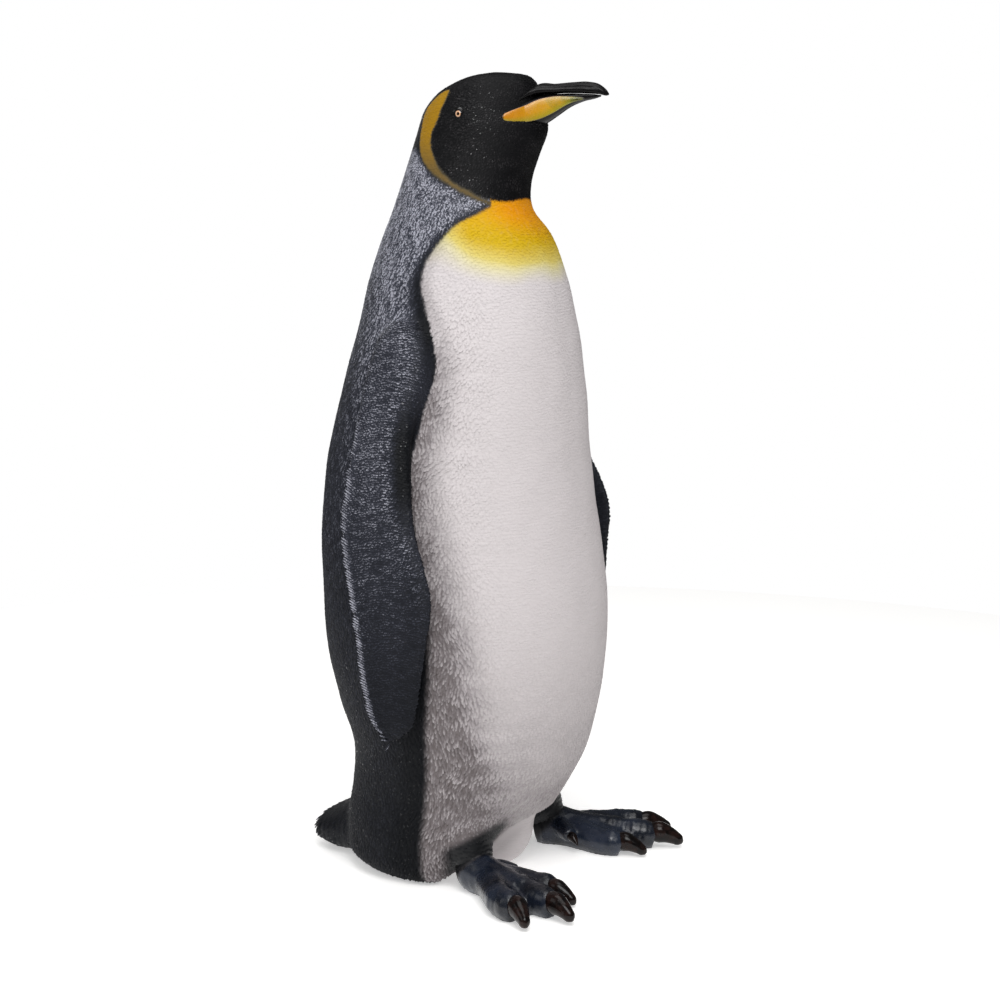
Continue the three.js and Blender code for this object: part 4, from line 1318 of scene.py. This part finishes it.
def makeWingCoat(side):
    # Scales in bowed rows down both faces, a speckled ridge behind the front edge, and slanting ridges on the
    # rear rim.
    rows = []
    for i, s in enumerate(np.arange(10, wingLength - 6, wingCoat["rowStep"])):
        lead, trail = wingEdges(s)
        count = max(3, int((lead - trail) / wingCoat["across"]))
        share = (np.arange(count) + 0.5 + 0.5 * (i % 2)) / (count + 0.5) * 2 - 1
        for face in (1, -1):
            across = np.clip(share, -0.985, 0.985)
            rows.append(np.stack([np.full(count, s), across, np.full(count, face)], -1))
    s, share, face = np.vstack(rows).T
    s = s - 7 * (1 - share**2) - 3.5 * share + chance.uniform(-0.9, 0.9, len(s))
    s = np.clip(s, 4, wingLength - 4)
    share = np.clip(share + chance.uniform(-0.02, 0.02, len(s)), -0.99, 0.99)
    turn = np.arccos(share) * face
    roots = wingPoint(side, s, turn)
    lie = wingPoint(side, s + 2, turn) - roots
    kept, spots, normals = settled(roots, 3.5)
    s, share, face, lie = s[kept], share[kept], face[kept], lie[kept]
    lead, trail = wingEdges(s)
    chord = (lead + trail) / 2 + (lead - trail) / 2 * share
    rim = (rimOf(side, chord, s) < 9) & (s > 125) & (face > 0)
    buried = distances(bodyTree, spots, 6) < 2.0
    ridge = np.exp(-((lead - chord - 27 + 14 * smoothStep(s, 200, 240)) / 5) ** 2)
    ridge = ridge * (1 - smoothStep(s, 300, 350)) * (face > 0)
    lie = unit(lie)
    swing = 0.25 * waves(s, chord, 26) + chance.normal(0, 0.08, len(s))
    lie = lie * np.cos(swing)[:, None] + np.cross(normals, lie) * np.sin(swing)[:, None]
    lift = wingCoat["lift"] + wingCoat["ridgeLift"] * ridge
    size = np.stack([wingCoat["length"] + 0 * s, wingCoat["width"] * chance.uniform(0.85, 1.1, len(s)),
                     lift * chance.uniform(0.7, 1.25, len(s))], -1)
    onWing, _ = skinShares(spots)
    place = np.array([s, chord, face])
    gain = 0.62 + 0.24 * waves(chord * 0.5, s * 1.6, 6) + chance.normal(0, 0.10, len(s))
    gain = gain + 0.6 * ridge * (chance.random(len(s)) > 0.55)
    strip = np.where(face > 0, 0.01, 0.51)
    maps = np.stack([strip + 0.46 * (share + 1) / 2, 0.01 + 0.97 * s / wingLength], -1)
    take = ~rim & ~buried
    name = "coatWing" + side.capitalize()
    piece = vaneMesh(name, spots[take], normals[take], lie[take], size[take], "scale", maps[take],
                     (onWing[take], 0 * s[take], place[:, take]), gain[take])
    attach(piece, "root")

    # The rear rim: narrow ridges a hand-tool's width apart, each slanting down and forward over the bead.
    s = np.repeat(np.arange(118, wingLength - 5, wingCoat["rimStep"]), 2)
    face = np.tile([1.0, -1.0], len(s) // 2)
    lead, trail = wingEdges(s)
    edge = np.where(face > 0, np.cos(rimTurns(side, s)), 2 * 1.2 / (lead - trail) - 1)
    share = np.clip(edge + 2 * wingCoat["rimStart"] / (lead - trail), -1, 1)
    turn = np.arccos(share) * face
    s = np.minimum(s + 7, wingLength - 3)
    roots = wingPoint(side, s, turn, 0.9)
    tips = wingPoint(side, s - 7, np.arccos(np.clip(edge + 0.04, -1, 1)) * face, 0.9)
    lie = unit(tips - roots)
    kept, spots, normals = settled(roots, 5)
    s, face, lie, trail = s[kept], face[kept], lie[kept], trail[kept]
    lift = wingCoat["rimLift"][side]
    length = wingCoat["rimLength"] * chance.uniform(0.9, 1.06, len(s))
    size = np.stack([length, wingCoat["rimWidth"] + 0 * s, lift * chance.uniform(0.85, 1.1, len(s))], -1)
    size = size * (0.55 + 0.45 * smoothStep(s, 112, 190) * (1 - 0.5 * smoothStep(s, 440, 478)))[:, None]
    onWing, _ = skinShares(spots)
    place = np.array([s, trail, face])
    maps = np.stack([np.where(face > 0, 0.005, 0.505), 0.01 + 0.97 * s / wingLength], -1)
    piece = vaneMesh("rim" + side.capitalize(), spots, normals, lie, size, "feather", maps,
                     (onWing, 0 * s, place), chance.uniform(0.75, 1.25, len(s)), 0.55 + 0.15 * (face > 0))
    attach(piece, "root")


for side in sides:
    makeWingCoat(side)


def makeTailAndLegCoat():
    # Long stiff feathers down the tail, and short ones where the legs leave the belly.
    rings, around = 14, 46
    tailRows = resampled(tail["sections"], rings, [0, 1])
    f, up, half, thick = [np.repeat(tailRows[:, k], around) for k in range(4)]
    stagger = np.repeat(np.arange(rings) % 2, around) * 0.068  # half a step round, in radians
    turn = np.tile(np.linspace(0, 2 * np.pi, around, endpoint=False), rings) + stagger
    roots = np.stack([f, half * power(np.cos(turn), 0.8), up + thick * power(np.sin(turn), 0.8)], -1)
    lie = np.stack([-1 + 0 * f, 0.25 * np.cos(turn), -0.25 + 0 * f], -1)
    isTail = np.ones(len(f))
    legRoots = []
    for side in sides:
        points, _ = limb(legRows(side), 46, 18)
        legRoots.append(points[1:-1])
    legRoots = np.vstack(legRoots)
    roots = np.vstack([roots, legRoots])
    lie = np.vstack([lie, np.tile([0.1, 0, -1.0], (len(legRoots), 1))])
    isTail = np.concatenate([isTail, np.zeros(len(legRoots))])
    roots = roots + chance.normal(0, 0.8, roots.shape)
    kept, spots, normals = settled(roots, 5)
    lie, isTail = lie[kept], isTail[kept]
    size = np.stack([4.5 + 4.5 * isTail, 4.4 + 0 * isTail, 0.55 + 0.15 * isTail], -1)
    size = size * chance.uniform(0.85, 1.1, (len(lie), 1))
    onFoot = footShare(spots)
    place = np.zeros((3, len(lie)))
    maps = np.stack([0.02 + 0.44 * isTail + 0.5 * (spots[:, 1] + 140) / 280,
                     0.02 + 0.9 * (spots[:, 0] + 190) / 300], -1)
    lie = lie - 0.6 * isTail[:, None] * [0, 0, 1.0]
    # None on the feet, past the tail's end, or close to the floor.
    take = (onFoot < 0.4) & ((isTail < 0.5) | (spots[:, 0] > -176))
    take = take & (spots[:, 2] > 2) & ((isTail > 0) | (spots[:, 2] > 14))
    shares = (0 * onFoot[take], onFoot[take], place[:, take])
    piece = vaneMesh("coatTailAndLegs", spots[take], normals[take], lie[take], size[take], "feather",
                     maps[take], shares, chance.uniform(0.5, 0.9, take.sum()))
    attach(piece, "root")


makeTailAndLegCoat()

bill = {
    # forward, top, bottom, half width
    "upper": [[62, 878, 871.5, 33], [78, 894, 887, 28], [90, 904.5, 892, 24.5], [110, 905.5, 894.6, 17],
              [130, 907, 894.8, 12.5], [147, 907.3, 894.2, 10], [160, 904, 893.2, 7.5],
              [167, 898.5, 891.8, 5], [170, 894.5, 892.6, 1.2]],
    "lower": [[62, 871, 860, 33], [78, 886.5, 857, 28.5], [90, 891.5, 858, 25], [102, 894, 864, 19.5],
              [112, 894.3, 870.5, 16.5], [125, 894.6, 879, 13], [142, 894.1, 886, 9], [154, 893.5, 888.6, 6],
              [161, 892.6, 890.8, 1.6]],
    # forward, top, bottom
    "plate": [[60, 869.6, 866.8], [61.5, 871.8, 864.9], [68, 875.2, 863.1], [82, 881.5, 863],
              [96, 888, 866], [110, 891, 872.5], [128, 891, 883], [145, 890, 888]],
    "plateProud": 1.3, "plateOverHead": 0.5, "plateDepth": 3.2, "grooveDepth": 1.0,
}


def billHalf(rows, grooved):
    # Level-sided rings turned with the head. Two long grooves run beside the culmen of the upper half.
    rows = resampled(rows, 90, [0, 3])
    turn = np.linspace(0, 2 * np.pi, 72, endpoint=False)[None]
    forward, top, bottom, half = [rows[:, k][:, None] for k in range(4)]
    degrees = np.degrees(turn)
    ahead = smoothStep(forward, 82, 96) * (1 - smoothStep(forward, 146, 162))
    groove = sum(depth * (np.exp(-((degrees - at) / wide) ** 2) + np.exp(-((degrees - 180 + at) / wide) ** 2))
                 for at, wide, depth in ((38, 7, 1.0), (8, 5, 0.8)))
    groove = groove * ahead * (bill["grooveDepth"] if grooved else 0) / np.maximum(half, 6)
    across = half * np.cos(turn) * (1 - groove)
    meeting = np.sin(turn) * (-1 if grooved else 1) > 0
    tall = (top - bottom) / 2 * power(np.sin(turn), np.where(meeting, 0.3, 1)) * (1 - 0.6 * groove * ~meeting)
    f, r = turned(forward, across, 1)
    return closedLoft(np.stack([f, r, (top + bottom) / 2 + tall], -1))


def headHalf(forward, up):
    # The body's half width at a place ahead of the axis, with the head unturned.
    front, back, half, narrow = bodyAt(up)
    c = np.clip((forward - (front + back) / 2) / ((front - back) / 2), -1, 1)
    ring = (1 - np.abs(c) ** body["ringPower"]) ** (1 / body["ringPower"])
    return half * ring * (1 - narrow * np.maximum(c, 0))


def plateShell(side):
    rows = resampled([[a, b - c, b, c] for a, b, c in bill["plate"]], 64, [0, 1])
    lower = np.array(bill["lower"], float)
    forward, _, top, bottom = [rows[:, k][:, None] for k in range(4)]
    half = smoothCurve(lower, lower[:, 0], rows[:, 0])[:, 3][:, None]
    half = np.maximum(half, headHalf(forward, (top + bottom) / 2) + bill["plateOverHead"])
    turn = np.linspace(0, 2 * np.pi, 36, endpoint=False)[None]
    depth = np.where(np.cos(turn) > 0, bill["plateProud"], bill["plateDepth"])
    f, r = turned(forward, sides[side] * (half + depth * np.cos(turn)), 1)
    points, faces = closedLoft(np.stack([f, r, (top + bottom) / 2 + (top - bottom) / 2 * np.sin(turn)], -1))
    along = (forward - rows[0, 0]) / (rows[-1, 0] - rows[0, 0]) + 0 * turn
    height = 0.5 + 0.5 * np.sin(turn) + 0 * forward
    edge = np.maximum(np.abs(np.sin(turn)) ** 6, 1 - smoothStep(np.minimum(along, 1 - along), 0, 0.05))
    values = np.stack([along, height, edge], -1).reshape(-1, 3)
    values = np.vstack([values[:1] * 0 + [0, 0.5, 1], values, [[1, 0.5, 1]]])
    return points, faces, values


def makeBill():
    upper = addPiece("billUpper", *billHalf(bill["upper"], True), billPaint)
    lower = addPiece("billLower", *billHalf(bill["lower"], False), billPaint)
    pieces = [(upper, "bill_upper", "bill_gloss"), (lower, "bill_lower", "bill_gloss")]
    paint = plateEnamel()
    for side in sides:
        points, faces, values = plateShell(side)
        plate = addPiece("billPlate" + side.capitalize(), points, faces, paint)
        setValues(plate.data, "paintFront", values)
        pieces.append((plate, "bill_plate_" + side, "plate_paint"))
    for piece, cadNode, slot in pieces:
        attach(piece, "root")
        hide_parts(cadNode)
    print("bill made")


makeBill()

# The painted pupil and iris are drawn this much narrower than round.
eye = {"radius": 9, "proud": 1.6, "narrow": 0.84, "lidRadius": 4.9, "lidTube": 0.85}


def makeEyes():
    paint = eyeEnamel()
    wide = float(headHalf(head["eyeForward"], head["eyeUp"]))
    lids = []
    for side, sign in sides.items():
        out = wide + eye["proud"] - eye["radius"]
        middle = np.array([*turned(head["eyeForward"], sign * out, 1), head["eyeUp"]])
        outward = np.array([*turned(0.0, float(sign), 1), 0])
        ahead = np.array([*turned(1.0, 0.0, 1), 0])
        flat = ballPoints(60, 64)
        ball = flat @ np.stack([ahead, [0, 0, 1], outward]) * eye["radius"]
        pole = outward * eye["radius"]
        points, faces = closedLoft(middle + ball, middle + pole, middle - pole)
        piece = addPiece("eye" + side.capitalize(), points, faces, paint)
        rho = np.hypot(flat[..., 0] / eye["narrow"], flat[..., 1]) * eye["radius"]
        rho = np.where(flat[..., 2] > 0, rho, 9).reshape(-1)
        rho = np.concatenate([[0], rho, [9]])
        setValues(piece.data, "paintFront", np.stack([rho, 0 * rho, 0 * rho], -1))
        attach(piece, "root")
        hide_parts("eye_" + side)
        # The lid is a slim rounded rim that follows the ball.
        lid = middle + outward * np.sqrt(eye["radius"] ** 2 - eye["lidRadius"] ** 2)
        ring = np.linspace(0, 2 * np.pi, 48, endpoint=False)[:, None]
        tube = np.linspace(0, 2 * np.pi, 12, endpoint=False)[None]
        reach = eye["lidRadius"] - 0.3 + eye["lidTube"] * np.cos(tube)
        points = (lid + (reach * np.cos(ring) * 0.92)[..., None] * ahead
                  + (reach * np.sin(ring))[..., None] * [0, 0, 1]
                  + (eye["lidTube"] * np.sin(tube) + 0 * ring)[..., None] * outward).reshape(-1, 3)
        i, j = np.meshgrid(np.arange(48), np.arange(12), indexing="ij")
        a, b = i * 12, (i + 1) % 48 * 12
        faces = np.stack([a + j, b + j, b + (j + 1) % 12, a + (j + 1) % 12], -1).reshape(-1, 4)
        lids.append((points, (faces if sign > 0 else faces[:, ::-1]).tolist()))
    points, faces = joined(lids)
    piece = addPiece("eyelids", points, faces, skinPaint)
    zero = np.zeros((len(points), 3))
    setPaints(piece.data, zero, zero + [1, 0, 0], zero + [0, 0, 0.1])  # hood black, barely brushed
    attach(piece, "root")
    print("eyes made")


makeEyes()


def makeClaws():
    for side in sides:
        rows = {toe: clawRows(side, plan) for toe, plan in foot["toes"].items()}
        rows["hallux"] = halluxClawRows(side)
        for toe, claw in rows.items():
            points, faces = limb(claw, 28, 36)
            points[:, 2] = np.maximum(points[:, 2], 0.6)
            piece = addPiece(f"claw{side.capitalize()}{toe.capitalize()}", points, faces, clawPaint)
            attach(piece, "root")
            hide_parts(f"claw_{side}_{toe}")
    print("claws made")


makeClaws()
